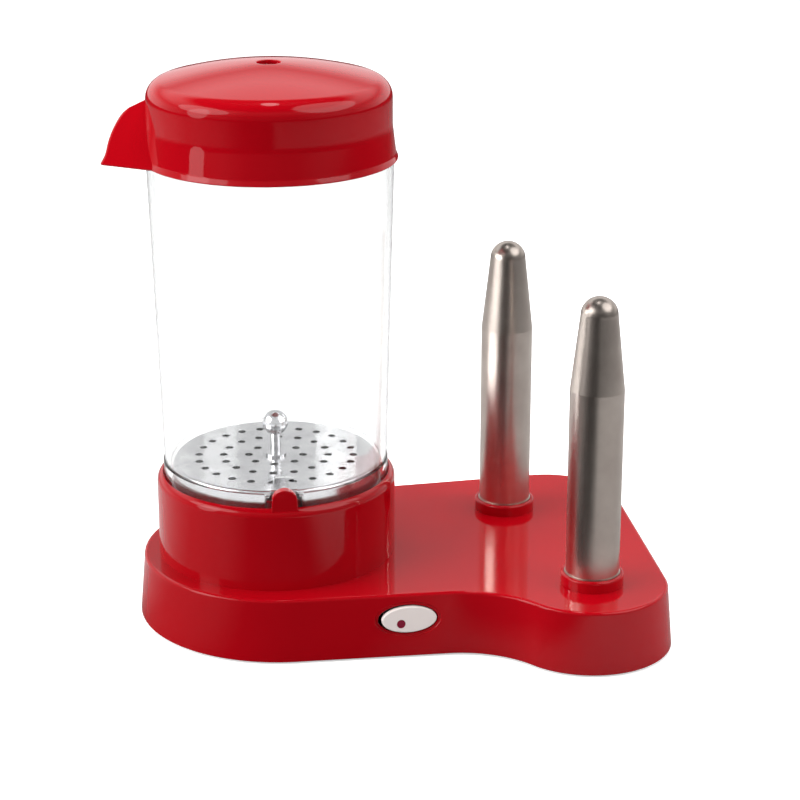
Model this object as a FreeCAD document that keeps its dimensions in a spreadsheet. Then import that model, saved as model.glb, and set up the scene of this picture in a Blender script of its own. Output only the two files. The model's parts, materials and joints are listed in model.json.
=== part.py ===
import FreeCAD, Part

import math
import os
import re

import Sketcher

# Hot dog toaster: a steam chamber for sausages on a round tower, and two heated spikes for buns.
# Origin: the middle of the plan box, on the table. +Z up, +X from the tower to the spikes, -Y to the front.
# All lengths in millimetres, all angles in degrees.

V = FreeCAD.Vector
NEAR = 1e-4  # two lengths this close to each other are the same
DOC = FreeCAD.newDocument("HotDogToaster")

SIZES = [
    # base moulding, in plan: three round lobes joined by straight sides, with a waist at the front
    ("tower_x", -55.8, "tower axis from the origin"),
    ("tower_y", -6.6, "tower axis from the origin"),
    ("left_lobe_dx", 2.6, "lobe round the tower, from the tower axis"),
    ("left_lobe_dy", -1.2, "lobe round the tower, from the tower axis"),
    ("left_lobe_r", 69.2, "lobe round the tower, at the skirt's foot"),
    ("rear_lobe_dx", 135.3, "rear spike's lobe, from the tower axis"),
    ("rear_lobe_dy", 59.9, "rear spike's lobe, from the tower axis"),
    ("rear_lobe_r", 38.0, "rear spike's lobe, at the skirt's foot"),
    ("front_lobe_dx", 147.6, "front spike's lobe, from the tower axis"),
    ("front_lobe_dy", -44.8, "front spike's lobe, from the tower axis"),
    ("front_lobe_r", 39.4, "front spike's lobe, at the skirt's foot"),
    ("waist_r", 46.0, "hollow of the waist, at the skirt's foot"),
    ("front_edge_a", 7.5, "turn of the front side from X"),
    ("draft_a", 5.0, "lean of the skirt"),
    ("skirt_z", 1.0, "skirt's foot above the table"),
    ("plate_top", 31.0, "top of the base plate"),
    ("shell_wall", 2.6, "wall of the base moulding"),
    ("plate_edge_r", 1.6, "round along the plate's edge"),
    # tower
    ("rim_wall", 3.0, "wall round the chamber's foot"),
    ("tower_h", 33.0, "from the plate up to the ledge that carries the dish"),
    ("rim_h", 7.6, "from that ledge up to the top of the tower's outer form"),
    ("rim_round_r", 5.0, "large round of that form; the rim's edge lies below its top"),
    ("rim_edge_r", 0.5, "round along the rim's inner edge"),
    ("ledge_t", 3.5, "thickness of the ledge"),
    ("ledge_w", 6.3, "width of the ledge"),
    ("tab_a", -82.9, "direction of the key tab, from +X"),
    ("tab_w", 13.0, "width of the key tab"),
    ("tab_h", 8.4, "key tab above the tower's outer form"),
    ("tab_narrow", 0.8, "each side's lean from the tab's foot to its corners"),
    ("tab_rise", 4.0, "rise of the tab's arched top"),
    ("tab_inset", 1.3, "tab's front face behind the tower's outside"),
    ("tab_t", 4.7, "thickness of the tab"),
    # steam chamber
    ("chamber_foot_r", 53.5, "outside of the chamber's foot"),
    ("chamber_foot_t", 3.3, "thickness of the foot"),
    ("foot_h", 10.2, "height of the thick foot"),
    ("foot_step", 0.45, "step from the foot to the wall above it"),
    ("chamber_flare", 3.5, "rim's outside beyond the foot's"),
    ("chamber_h", 159.3, "height of the chamber"),
    ("chamber_wall", 2.6, "wall of the chamber"),
    ("notch_gap", 2.4, "room beside the key tab, in the foot"),
    ("throat_gap", 0.45, "room beside the key tab, above the foot"),
    ("throat_step", 0.4, "throat of the notch above the tab's corners"),
    ("notch_rise", 5.6, "top of the notch above the tab"),
    ("notch_top_w", 8.0, "width of the notch's top"),
    ("chamber_rim_r", 0.8, "round along the chamber's rim"),
    ("seat_gap", 0.2, "play under pieces that lift off"),
    ("chamber_gap", 0.4, "play round the chamber's foot"),
    # heating dish and gasket
    ("dish_sheet", 1.0, "sheet of the dish"),
    ("dish_gap", 1.4, "room between the dish's bowl and the ledge"),
    ("dish_depth", 13.0, "dish's underside below the ledge"),
    ("dish_corner_r", 6.0, "round at the foot of the bowl"),
    ("flange_gap", 0.7, "room round the dish's flange"),
    ("gasket_t", 2.0, "height of the gasket"),
    ("gasket_w", 3.2, "width of the gasket"),
    # rack plate
    ("rack_gap", 0.9, "room between the rack plate and the chamber's foot"),
    ("rack_sheet", 0.8, "sheet of the rack plate"),
    ("rack_h", 12.4, "height of the rack plate"),
    ("rack_round_r", 2.0, "round along the rack plate"),
    ("rack_hole_r", 1.9, "steam hole"),
    ("ring_1_r", 13.0, "first ring of steam holes"),
    ("ring_2_r", 25.0, "second ring of steam holes"),
    ("ring_3_r", 37.0, "third ring of steam holes"),
    ("knob_stem_r", 2.4, "stem of the lifting knob"),
    ("knob_gap", 0.1, "play round the stem in the plate"),
    ("knob_ball_r", 6.0, "ball of the lifting knob"),
    ("knob_h", 16.4, "middle of the ball above the plate"),
    ("knob_flange_r", 5.0, "collars above and below the plate"),
    ("knob_flange_t", 1.2, "thickness of those collars"),
    # lid
    ("lip_drop", 3.9, "foot of the lid's flared lip below the chamber's rim"),
    ("lid_lip_gap", 0.3, "play between the lip and the chamber's rim"),
    ("lip_wall", 1.6, "thickness of the lip at its foot"),
    ("lip_h", 2.8, "height of the lip"),
    ("lip_step", 1.2, "wall's outside behind the lip's edge"),
    ("lid_flare_h", 12.6, "height of the wall's flare above the lip"),
    ("lid_inset", 0.8, "lid's wall behind the chamber's rim"),
    ("lid_wall_t", 2.4, "wall of the lid"),
    ("lid_straight_h", 12.7, "height of the straight wall above the flare"),
    ("crown_w", 6.9, "width of the large round over the wall"),
    ("crown_h", 8.7, "height of that round"),
    ("crown_rise", 7.4, "rise of the lid's top inside it"),
    ("vent_r", 5.5, "steam vent"),
    # lid's beak handle
    ("beak_len", 19.7, "tip of the handle from the lid's wall"),
    ("beak_lip_w", 1.9, "flare's edge beyond the handle's back"),
    ("beak_lip_h", 0.8, "height of the flare's upright edge"),
    ("beak_lip", 5.2, "height of the flare's slope"),
    ("beak_back_r", 29.5, "large round of the handle's back"),
    ("beak_back_h", 1.4, "height of that round's middle above the lip's foot"),
    ("beak_root", 14.0, "handle's end inside the lid's wall"),
    ("beak_tip_w", 33.4, "width at the tip"),
    ("beak_side_a", 25.4, "each side's turn outwards from tip to lid"),
    ("beak_lean_a", 41.9, "each side's lean inwards, up to the handle's ridge"),
    ("beak_wall", 2.2, "wall of the handle"),
    ("beak_edge_r", 1.2, "round along the handle's edges"),
    # spikes
    ("rear_spike_dx", -23.3, "rear spike from its lobe's middle"),
    ("rear_spike_dy", -11.1, "rear spike from its lobe's middle"),
    ("front_spike_dx", 1.3, "front spike from its lobe's middle"),
    ("front_spike_dy", -0.9, "front spike from its lobe's middle"),
    ("spike_r", 12.5, "outside of a spike"),
    ("spike_sheet", 0.9, "wall of a spike"),
    ("spike_depth", 16.0, "underside of a spike's flange below the plate's top"),
    ("spike_flange_w", 0.2, "flange's edge beyond the socket"),
    ("spike_flange_t", 1.5, "thickness of the flange"),
    ("spike_straight_h", 95.0, "straight part of a spike above the plate"),
    ("spike_tip_r", 8.6, "round tip of a spike"),
    ("spike_cone_h", 35.0, "height of the cone under the round tip"),
    ("sleeve_wall", 2.9, "wall of the socket round a spike inside the base"),
    ("spike_foot_w", 0.5, "spike's foot, in its collar, beyond its straight part"),
    ("spike_foot_h", 0.3, "foot's end above the collar"),
    ("spike_gap", 0.1, "play between a spike's foot and its collar"),
    ("collar_r", 14.8, "outside of a spike's collar"),
    ("collar_h", 5.6, "collar's height above the plate"),
    ("collar_round_r", 1.2, "round along the collar"),
    ("collar_spigot_t", 1.0, "collar's neck through the plate"),
    ("collar_gap", 0.2, "play round the collar's neck"),
    ("rod_r", 5.0, "heating rod inside a spike"),
    ("rod_end_gap", 3.0, "rod's top below the end of the spike's straight part"),
    ("rod_plug_h", 13.0, "ceramic plug that holds the rod"),
    ("rod_plug_gap", 0.05, "play round the ceramic plug"),
    # steel bracket under the spikes
    ("bracket_t", 1.5, "sheet of the bracket"),
    ("bracket_edge", 0.6, "bracket's edge beyond its outer screws' heads"),
    ("bracket_lap", 2.6, "bracket's edge under a rod's ceramic plug"),
    ("pillar_side_gap", 0.4, "room between a pillar and a spike's flange"),
    ("pillar_r", 4.2, "screw pillar"),
    ("pillar_gap", 0.1, "play under a pillar's foot"),
    # screws
    ("screw_r", 1.5, "screw shank"),
    ("screw_gap", 0.05, "play round the shank in a pillar"),
    ("screw_len", 9.0, "length of the shank"),
    ("screw_head_r", 3.2, "screw head"),
    ("screw_head_t", 1.7, "height of the head"),
    ("screw_slot_w", 0.9, "slot in the head"),
    ("screw_slot_d", 0.8, "depth of the slot"),
    ("screw_pass_r", 1.8, "hole that a shank passes"),
    ("cover_screw_inset", 8.2, "cover's screws inside the skirt's foot"),
    # bottom cover and feet
    ("cover_z", 3.0, "underside of the cover"),
    ("cover_t", 2.2, "thickness of the cover"),
    ("cover_gap", 0.7, "play round the cover"),
    ("foot_inset", 18.0, "feet inside the skirt's foot"),
    ("foot_r", 8.0, "rubber foot"),
    ("foot_bevel", 1.0, "bevel along a foot"),
    ("foot_stem_r", 2.6, "foot's stem"),
    ("foot_stem_gap", 0.1, "play round the stem"),
    ("foot_barb_w", 1.0, "foot's barb beyond its stem"),
    ("foot_barb_h", 2.4, "height of the barb"),
    ("cover_vent_w", 3.0, "width of a cooling slot in the cover"),
    ("cover_vent_l", 34.0, "length of a cooling slot"),
    ("cover_vent_pitch", 8.0, "pitch of the cooling slots"),
    # parts on the dish's underside
    ("stud_r", 2.5, "stud welded to the dish"),
    ("stud_end", 4.4, "stud's end below the nut"),
    ("element_r", 30.0, "middle of the element's ring"),
    ("element_tube_r", 3.3, "element's tube"),
    ("element_gap", 0.05, "play between the element and the dish"),
    ("element_turn", 318.0, "sweep of the ring"),
    ("element_tail", 14.0, "length of the element's tails"),
    ("yoke_drop", 11.0, "top of the yoke's bar below the dish"),
    ("yoke_t", 1.6, "sheet of the yoke"),
    ("yoke_w", 13.0, "width of the yoke"),
    ("yoke_leg_gap", 2.0, "outside of the yoke's legs beyond the ledge's edge"),
    ("yoke_foot_gap", 1.2, "room between the yoke's feet and the tower's wall"),
    ("yoke_hole_r", 2.8, "hole for the stud"),
    ("nut_w", 8.0, "nut across its flats"),
    ("nut_t", 4.0, "height of the nut"),
    ("nut_gap", 0.05, "play between nut and stud"),
    ("thermostat_s", 17.0, "thermostat from the tower axis"),
    ("thermostat_r", 7.4, "thermostat"),
    ("thermostat_h", 10.0, "height of the thermostat"),
    ("thermostat_step", 2.0, "thermostat's narrower lower half"),
    ("fuse_s", 15.0, "thermal fuse from the tower axis"),
    ("fuse_r", 2.2, "thermal fuse"),
    ("fuse_l", 12.0, "length of the fuse's body"),
    # switch
    ("switch_dx", 63.2, "switch from the tower axis"),
    ("switch_drop", 12.1, "middle of the switch below the plate's top"),
    ("rocker_w", 26.0, "width of the rocker"),
    ("rocker_h", 12.6, "height of the rocker"),
    ("rocker_proud", 0.8, "rocker's face in front of the wall"),
    ("rocker_t", 2.2, "thickness of the rocker's cap"),
    ("rocker_edge_r", 0.7, "round along the rocker"),
    ("rocker_tilt", 5.0, "tilt of the rocker at rest"),
    ("rocker_gap_x", 1.0, "room beside the rocker"),
    ("rocker_gap_z", 0.6, "room above and below the rocker"),
    ("recess_w", 1.5, "width of the shallow recess round the rocker"),
    ("recess_d", 0.5, "depth of that recess"),
    ("pivot_d", 6.0, "rocker's pin behind the wall's face"),
    ("pin_r", 1.0, "rocker's pin"),
    ("pin_gap", 0.05, "play of the rocker on its pin"),
    ("hub_w", 7.0, "width of the rocker's hub"),
    ("hub_gap", 0.3, "play above and below the hub in its housing"),
    ("hub_back", 2.2, "hub behind the pin"),
    ("switch_body_w", 23.0, "width of the switch's housing"),
    ("switch_body_h", 14.6, "height of the housing"),
    ("switch_body_d", 17.0, "back of the housing behind the wall's face"),
    ("switch_body_t", 2.0, "wall of the housing"),
    ("switch_seat", 0.3, "play between the housing and the moulding"),
    ("blade_w", 4.8, "width of a switch tab"),
    ("blade_t", 0.8, "thickness of a switch tab"),
    ("blade_l", 6.0, "length of a switch tab"),
    ("dot_r", 2.0, "coloured dot in the rocker"),
    ("dot_x", 4.0, "dot left of the rocker's middle"),
    ("dot_z", 1.8, "dot below the rocker's middle"),
    ("dot_t", 0.7, "thickness of the dot"),
    ("dot_proud", 0.05, "dot's face in front of the rocker"),
    # cord inlet and its clamp
    ("inlet_s", 58.0, "cord inlet along the rear side, from the left lobe"),
    ("inlet_rise", 1.4, "grommet's edge above the cover"),
    ("grommet_bore_r", 3.3, "cord's hole"),
    ("grommet_neck_r", 5.4, "grommet in the wall"),
    ("grommet_flange_r", 7.4, "grommet's flanges"),
    ("grommet_flange_t", 1.5, "thickness of the flanges"),
    ("clamp_d", 16.0, "cord clamp behind the wall's face"),
    ("clamp_w", 26.0, "length of the clamp"),
    ("clamp_b", 8.0, "breadth of the clamp"),
    ("clamp_t", 3.0, "thickness of the clamp"),
    ("clamp_pitch", 17.0, "pitch of the clamp's screws"),
    # terminal block
    ("block_dx", 84.0, "terminal block from the tower axis"),
    ("block_dy", 8.0, "terminal block from the tower axis"),
    ("block_w", 30.0, "width of the terminal block"),
    ("block_b", 14.0, "breadth of the block"),
    ("block_h", 12.0, "height of the block"),
    ("block_pitch", 9.0, "pitch of the terminals"),
    ("terminal_r", 2.4, "brass terminal"),
    ("terminal_h", 3.0, "terminal's height above the block"),
    ("terminal_depth", 5.0, "terminal's depth in the block"),
]

DERIVED = [
    ("lobe_x", "tower_x + left_lobe_dx"),
    ("lobe_y", "tower_y + left_lobe_dy"),
    ("rear_lobe_x", "tower_x + rear_lobe_dx"),
    ("rear_lobe_y", "tower_y + rear_lobe_dy"),
    ("front_lobe_x", "tower_x + front_lobe_dx"),
    ("front_lobe_y", "tower_y + front_lobe_dy"),
    ("rear_spike_x", "rear_lobe_x + rear_spike_dx"),
    ("rear_spike_y", "rear_lobe_y + rear_spike_dy"),
    ("front_spike_x", "front_lobe_x + front_spike_dx"),
    ("front_spike_y", "front_lobe_y + front_spike_dy"),
    ("plate_under", "plate_top - shell_wall"),
    ("skirt_h", "plate_top - skirt_z"),
    # the rear side's turn: the common tangent of the left and the rear lobe
    ("lobe_run_x", "rear_lobe_x - lobe_x"),
    ("lobe_run_y", "rear_lobe_y - lobe_y"),
    ("lobe_run", "sqrt(lobe_run_x * lobe_run_x + lobe_run_y * lobe_run_y)"),
    ("back_edge_a", "(atan2(lobe_run_y; lobe_run_x) - asin((left_lobe_r - rear_lobe_r) / lobe_run)) / 1 deg"),
    # stack in the tower
    ("rim_bore_r", "chamber_foot_r + chamber_gap"),
    ("tower_r", "rim_bore_r + rim_wall"),
    ("tower_bore_r", "tower_r - shell_wall"),
    ("ledge_bore_r", "rim_bore_r - ledge_w"),
    ("ledge_z", "plate_top + tower_h"),
    ("rim_top", "ledge_z + rim_h"),
    ("tab_top", "rim_top + tab_h"),
    ("tab_front_r", "tower_r - tab_inset"),
    ("tab_back_r", "tab_front_r - tab_t"),
    ("dish_r", "ledge_bore_r - dish_gap"),
    ("dish_floor_z", "ledge_z - dish_depth"),
    ("flange_r", "rim_bore_r - flange_gap"),
    ("flange_top", "ledge_z + dish_sheet"),
    ("gasket_top", "flange_top + gasket_t"),
    ("chamber_foot_z", "gasket_top + seat_gap"),
    ("foot_top_z", "chamber_foot_z + foot_h"),
    ("chamber_top_z", "chamber_foot_z + chamber_h"),
    ("chamber_top_r", "chamber_foot_r + chamber_flare"),
    ("chamber_bore_r", "chamber_foot_r - chamber_foot_t"),
    ("rack_r", "chamber_bore_r - rack_gap"),
    ("rack_foot_z", "flange_top + seat_gap"),
    ("rack_top_z", "rack_foot_z + rack_h"),
    ("knob_z", "rack_top_z + knob_h"),
    ("notch_half", "tab_w / 2 + notch_gap"),
    ("throat_half", "tab_w / 2 + throat_gap"),
    ("throat_z", "tab_top - tab_rise + throat_step"),
    ("notch_top_z", "tab_top + notch_rise"),
    ("dish_bore_r", "dish_r - dish_sheet"),
    ("yoke_z", "dish_floor_z - yoke_drop"),
    ("yoke_leg_r", "ledge_bore_r + yoke_leg_gap"),
    ("yoke_foot_r", "tower_bore_r - yoke_foot_gap"),
    ("nut_foot_z", "yoke_z - yoke_t - nut_t"),
    # lid
    ("lid_seat_z", "chamber_top_z + seat_gap"),
    ("lid_lip_z", "chamber_top_z - lip_drop"),
    ("lip_bore_r", "chamber_top_r + lid_lip_gap"),
    ("lid_lip_r", "lip_bore_r + lip_wall"),
    ("lid_flare_z", "lid_lip_z + lip_h"),
    ("lid_flare_r", "lid_lip_r - lip_step"),
    ("lid_flare_top_z", "lid_flare_z + lid_flare_h"),
    ("lid_wall_r", "chamber_top_r - lid_inset"),
    ("lid_bore_r", "lid_wall_r - lid_wall_t"),
    ("lid_shoulder_z", "lid_flare_top_z + lid_straight_h"),
    ("lid_crown_r", "lid_wall_r - crown_w"),
    ("lid_crown_z", "lid_shoulder_z + crown_h"),
    ("lid_top", "lid_crown_z + crown_rise"),
    ("beak_reach", "lid_wall_r + beak_len"),
    ("beak_root_x", "lid_wall_r - beak_root"),
    ("beak_lip_z", "lid_lip_z + beak_lip_h"),
    ("beak_back_x", "beak_reach - beak_lip_w - beak_back_r"),
    ("beak_back_z", "lid_lip_z + beak_back_h"),
    ("beak_top_z", "beak_back_z + beak_back_r"),
    # collars and spikes
    ("spike_foot_r", "spike_r + spike_foot_w"),
    ("collar_top", "plate_top + collar_h"),
    ("spike_foot_top", "collar_top + spike_foot_h"),
    ("collar_bore_r", "spike_foot_r + spike_gap"),
    ("collar_neck_r", "collar_bore_r + collar_spigot_t"),
    ("plate_hole_r", "collar_neck_r + collar_gap"),
    ("sleeve_r", "plate_hole_r + sleeve_wall"),
    ("spike_flange_r", "sleeve_r + spike_flange_w"),
    ("spike_foot_z", "plate_top - spike_depth"),
    ("flange_seat_z", "spike_foot_z + spike_flange_t"),
    ("spike_straight_z", "plate_top + spike_straight_h"),
    ("spike_tip_z", "spike_straight_z + spike_cone_h"),
    ("rod_top_z", "spike_straight_z - rod_end_gap"),
    ("bracket_top", "spike_foot_z - pillar_gap"),
    ("bracket_foot", "bracket_top - bracket_t"),
    ("bracket_screw_s", "spike_flange_r + pillar_r + pillar_side_gap"),
    ("bracket_r", "bracket_screw_s + screw_head_r + bracket_edge"),
    ("bracket_bore_r", "spike_r - spike_sheet - bracket_lap"),
    ("spike_run_x", "front_spike_x - rear_spike_x"),
    ("spike_run_y", "front_spike_y - rear_spike_y"),
    ("spike_span", "sqrt(spike_run_x * spike_run_x + spike_run_y * spike_run_y)"),
    ("spike_line_a", "atan2(spike_run_y; spike_run_x) / 1 deg"),
    ("spike_mid_x", "(front_spike_x + rear_spike_x) / 2"),
    ("spike_mid_y", "(front_spike_y + rear_spike_y) / 2"),
    ("pilot_r", "screw_r + screw_gap"),
    ("cover_top", "cover_z + cover_t"),
    ("cover_pillar_z", "cover_top + pillar_gap"),
    ("cover_inset", "shell_wall + cover_gap + (cover_z - skirt_z) * tan(draft_a)"),
    # switch and inlet, on the leaning skirt
    ("switch_z", "plate_top - switch_drop"),
    ("hub_h", "switch_body_h - 2 * switch_body_t - 2 * hub_gap"),
    ("inlet_z", "cover_top + inlet_rise + grommet_flange_r"),
    ("lobe_r_at_switch", "left_lobe_r - (switch_z - skirt_z) * tan(draft_a)"),
    ("switch_x", "tower_x + switch_dx"),
    ("switch_y", "lobe_y + ((switch_x - lobe_x) * sin(front_edge_a) - lobe_r_at_switch) / cos(front_edge_a)"),
    ("lobe_r_at_inlet", "left_lobe_r - (inlet_z - skirt_z) * tan(draft_a)"),
    ("inlet_x", "lobe_x - lobe_r_at_inlet * sin(back_edge_a) + inlet_s * cos(back_edge_a)"),
    ("inlet_y", "lobe_y + lobe_r_at_inlet * cos(back_edge_a) + inlet_s * sin(back_edge_a)"),
    ("block_x", "tower_x + block_dx"),
    ("block_y", "tower_y + block_dy"),
    ("clamp_z", "inlet_z - grommet_bore_r - clamp_t"),
]

# Frames that pieces are set in, besides the origin's own.
TOWER = "placement(vector(tower_x; tower_y; 0); rotation(vector(0; 0; 1); 0))"
REAR_SPIKE = "placement(vector(rear_spike_x; rear_spike_y; 0); rotation(vector(0; 0; 1); 0))"
FRONT_SPIKE = "placement(vector(front_spike_x; front_spike_y; 0); rotation(vector(0; 0; 1); 0))"
SPIKE_LINE = "placement(vector(spike_mid_x; spike_mid_y; 0); rotation(vector(0; 0; 1); spike_line_a))"
# On the skirt: X along the wall, Y into the base, Z up the leaning wall.
SWITCH = ("placement(vector(switch_x; switch_y; switch_z); "
          "rotation(vector(0; 0; 1); front_edge_a) * rotation(vector(1; 0; 0); -draft_a))")
INLET = ("placement(vector(inlet_x; inlet_y; inlet_z); "
         "rotation(vector(0; 0; 1); back_edge_a + 180) * rotation(vector(1; 0; 0); -draft_a))")
BLOCK = "placement(vector(block_x; block_y; cover_top); rotation(vector(0; 0; 1); 90))"

LOBES = {"left": ("lobe_x", "lobe_y", "left_lobe_r"), "rear": ("rear_lobe_x", "rear_lobe_y", "rear_lobe_r"),
         "front": ("front_lobe_x", "front_lobe_y", "front_lobe_r")}


def inside_lobe(lobe, angle, inset):
    """Plan position on a lobe, in a direction from its middle and an inset from its edge."""
    x, y, radius = LOBES[lobe]
    return ("%s + (%s - %s) * cos(%d)" % (x, radius, inset, angle),
            "%s + (%s - %s) * sin(%d)" % (y, radius, inset, angle))


FEET = [inside_lobe(lobe, angle, "foot_inset")
        for lobe, angle in (("left", -130), ("left", 130), ("rear", 65), ("front", -50), ("left", -50))]
COVER_SCREWS = [inside_lobe(lobe, angle, "cover_screw_inset")
                for lobe, angle in (("left", 180), ("left", -82), ("left", 90),
                                    ("rear", 120), ("rear", -5), ("front", -150))]

ALIASES = {row[0] for row in SIZES + DERIVED}


def named(text):
    """The same expression, with each size taken from the sheet."""
    return re.sub(r"\b[a-z]\w*\b", lambda word: "Sizes." + word[0] if word[0] in ALIASES else word[0], text)


def size(text):
    """The value that an expression has now."""
    result = SHEET.evalExpression(named(text))
    return float(getattr(result, "Value", result))


def bind(thing, **sizes):
    """Tie properties of an object to expressions of the sizes."""
    for name, text in sizes.items():
        thing.setExpression(name, named(text))
    return thing


def fill_sheet():
    """The driving sizes as numbers, then the sizes that follow from them as formulas."""
    sheet = DOC.addObject("Spreadsheet::Sheet", "Sizes")
    for row, (alias, value, meaning) in enumerate(SIZES, 1):
        sheet.set("A%d" % row, meaning)
        sheet.set("B%d" % row, str(value))
        sheet.setAlias("B%d" % row, alias)
    for row, (alias, formula) in enumerate(DERIVED, len(SIZES) + 1):
        sheet.set("B%d" % row, "=" + formula)
        sheet.setAlias("B%d" % row, alias)
    DOC.recompute()
    return sheet


def at(x, y, z, turn="0", about="0; 0; 1"):
    """A placement inside a frame: a point and a turn about one axis."""
    return "placement(vector(%s; %s; %s); rotation(vector(%s); %s))" % (x, y, z, about, turn)


# ---------------------------------------------------------------- sketches

def new_body(label, frame=None):
    body = DOC.addObject("PartDesign::Body", label)
    body.Label = label
    if frame:
        bind(body, Placement=frame)
    return body


def new_sketch(body, name, role="XY_Plane", offset=None):
    """A sketch on one of the body's own origin planes, moved by an offset."""
    sketch = body.newObject("Sketcher::SketchObject", name)
    plane = next(part for part in body.Origin.OriginFeatures if part.Role == role)
    sketch.AttachmentSupport = [(plane, "")]
    sketch.MapMode = "FlatFace"
    if offset:
        bind(sketch, AttachmentOffset=offset)
        DOC.recompute()
    return sketch


def hold(sketch, geo, end, x, y):
    """Hold a sketch point at two sizes; "0" puts it on the sketch's axis."""
    for kind, axis, text in (("DistanceX", -2, x), ("DistanceY", -1, y)):
        if text == "0":
            sketch.addConstraint(Sketcher.Constraint("PointOnObject", geo, end, axis))
        else:
            index = sketch.addConstraint(Sketcher.Constraint(kind, -1, 1, geo, end, size(text)))
            sketch.setExpression("Constraints[%d]" % index, named(text))


def hold_radius(sketch, geo, text):
    index = sketch.addConstraint(Sketcher.Constraint("Radius", geo, size(text)))
    sketch.setExpression("Constraints[%d]" % index, named(text))


def arc_through(start, end, radius):
    """Short arc from start to end; a positive radius turns left. Returns it and which end comes first."""
    chord = end - start
    half = chord.Length / 2
    rise = math.sqrt(max(radius * radius - half * half, 0.0))
    left = V(-chord.y, chord.x, 0).normalize()
    centre = start + chord * 0.5 + left * (rise if radius > 0 else -rise)
    return arc_about(centre, start, end, radius > 0)


def arc_about(centre, start, end, turns_left):
    first, last = (start, end) if turns_left else (end, start)
    begin = math.atan2(first.y - centre.y, first.x - centre.x)
    finish = math.atan2(last.y - centre.y, last.x - centre.x)
    if finish <= begin:
        finish += 2 * math.pi
    circle = Part.Circle(centre, V(0, 0, 1), (start - centre).Length)
    return Part.ArcOfCircle(circle, begin, finish), (1, 2) if turns_left else (2, 1)


def tangent_radius(start, end, heading):
    """Radius of the arc that leaves start along heading and reaches end; positive turns left."""
    chord = end - start
    return chord.dot(chord) / (2 * chord.dot(V(-heading.y, heading.x, 0)))


def loop(sketch, corners):
    """A closed outline. A corner is (x, y) or (x, y, arrival), and arrival says how the side into it runs:
    "tangent" is an arc that carries on from the side before it, and ("left" or "right", radius) an arc
    that turns that way."""
    points = [V(size(corner[0]), size(corner[1]), 0) for corner in corners]
    count = len(corners)
    heading = points[0] - points[-1]
    sides = []
    for index in range(count):
        start, end = points[index], points[(index + 1) % count]
        corner = corners[(index + 1) % count]
        arrival = corner[2] if len(corner) > 2 else None
        if arrival is None:
            geo = sketch.addGeometry(Part.LineSegment(start, end), False)
            ends = (1, 2)
            heading = end - start
        else:
            if arrival == "tangent":
                radius = tangent_radius(start, end, heading.normalize())
            else:
                radius = size(arrival[1]) * (1 if arrival[0] == "left" else -1)
            arc, ends = arc_through(start, end, radius)
            geo = sketch.addGeometry(arc, False)
            out = end - arc.Center
            heading = V(-out.y, out.x, 0) if radius > 0 else V(out.y, -out.x, 0)
        sides.append((geo, ends, arrival))
    for index, (geo, ends, arrival) in enumerate(sides):
        last_geo, last_ends, _ = sides[index - 1]
        kind = "Tangent" if arrival == "tangent" else "Coincident"
        sketch.addConstraint(Sketcher.Constraint(kind, last_geo, last_ends[1], geo, ends[0]))
        hold(sketch, geo, ends[0], corners[index][0], corners[index][1])
        if arrival and arrival != "tangent":
            hold_radius(sketch, geo, arrival[1])


def circles(sketch, rounds):
    """Circles given as (x, y, radius)."""
    for x, y, radius in rounds:
        geo = sketch.addGeometry(Part.Circle(V(size(x), size(y), 0), V(0, 0, 1), size(radius)), False)
        hold(sketch, geo, 3, x, y)
        hold_radius(sketch, geo, radius)


def rectangle(sketch, x, y, width, breadth):
    """A rectangle about the point (x, y)."""
    west, east = "%s - %s / 2" % (x, width), "%s + %s / 2" % (x, width)
    south, north = "%s - %s / 2" % (y, breadth), "%s + %s / 2" % (y, breadth)
    loop(sketch, [(west, south), (east, south), (east, north), (west, north)])


# ---------------------------------------------------------------- features

def pad(body, sketch, length, down=False, taper=None, middle=False):
    feature = body.newObject("PartDesign::Pad", sketch.Name + "_pad")
    return extrude(feature, sketch, length, down, taper, middle)


def pocket(body, sketch, length, down=True, taper=None, middle=False):
    """Cut from the sketch; a pocket that removes nothing stops the build."""
    before = body.Shape.Volume
    feature = body.newObject("PartDesign::Pocket", sketch.Name + "_cut")
    extrude(feature, sketch, length, not down, taper, middle)
    if feature.Shape.Volume >= before:
        raise ValueError("pocket removes nothing: " + sketch.Name)
    return feature


def extrude(feature, sketch, length, reverse, taper, middle):
    feature.Profile = sketch
    feature.Reversed = reverse
    if middle:
        feature.SideType = "Symmetric"
    bind(feature, Length=length)
    if taper:
        bind(feature, TaperAngle=taper)
    DOC.recompute()
    return feature


def edges_at(shape, test):
    """Names of the edges whose every sampled point passes the test."""
    names = []
    for number, edge in enumerate(shape.Edges, 1):
        first, last = edge.ParameterRange
        spots = [edge.valueAt(first + (last - first) * share) for share in (0.0, 0.3, 0.5, 0.8, 1.0)]
        if all(test(spot) for spot in spots):
            names.append("Edge%d" % number)
    return names


def fillet(body, name, radius, test):
    base = body.Tip
    names = edges_at(base.Shape, test)
    if not names:
        raise ValueError("no edge to round: " + name)
    feature = body.newObject("PartDesign::Fillet", name)
    feature.Base = (base, names)
    bind(feature, Radius=radius)
    DOC.recompute()
    return feature


def turned(label, corners, frame=None):
    """A solid of revolution about the frame's Z; corners are (radius, height)."""
    body = new_body(label, frame)
    sketch = new_sketch(body, label + "_profile", "XZ_Plane")
    loop(sketch, corners)
    feature = body.newObject("PartDesign::Revolution", label + "_turn")
    feature.Profile = sketch
    feature.ReferenceAxis = (sketch, ["V_Axis"])
    DOC.recompute()
    return body


def plate(label, draw, z, height, frame=None):
    """A flat piece: whatever draw puts in its sketch, from height z up."""
    body = new_body(label, frame)
    sketch = new_sketch(body, label + "_plan", "XY_Plane", at("0", "0", z))
    draw(sketch)
    pad(body, sketch, height)
    return body


def primitive(kind, label, frame, **sizes):
    return bind(DOC.addObject("Part::" + kind, label), Placement=frame, **sizes)


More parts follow.
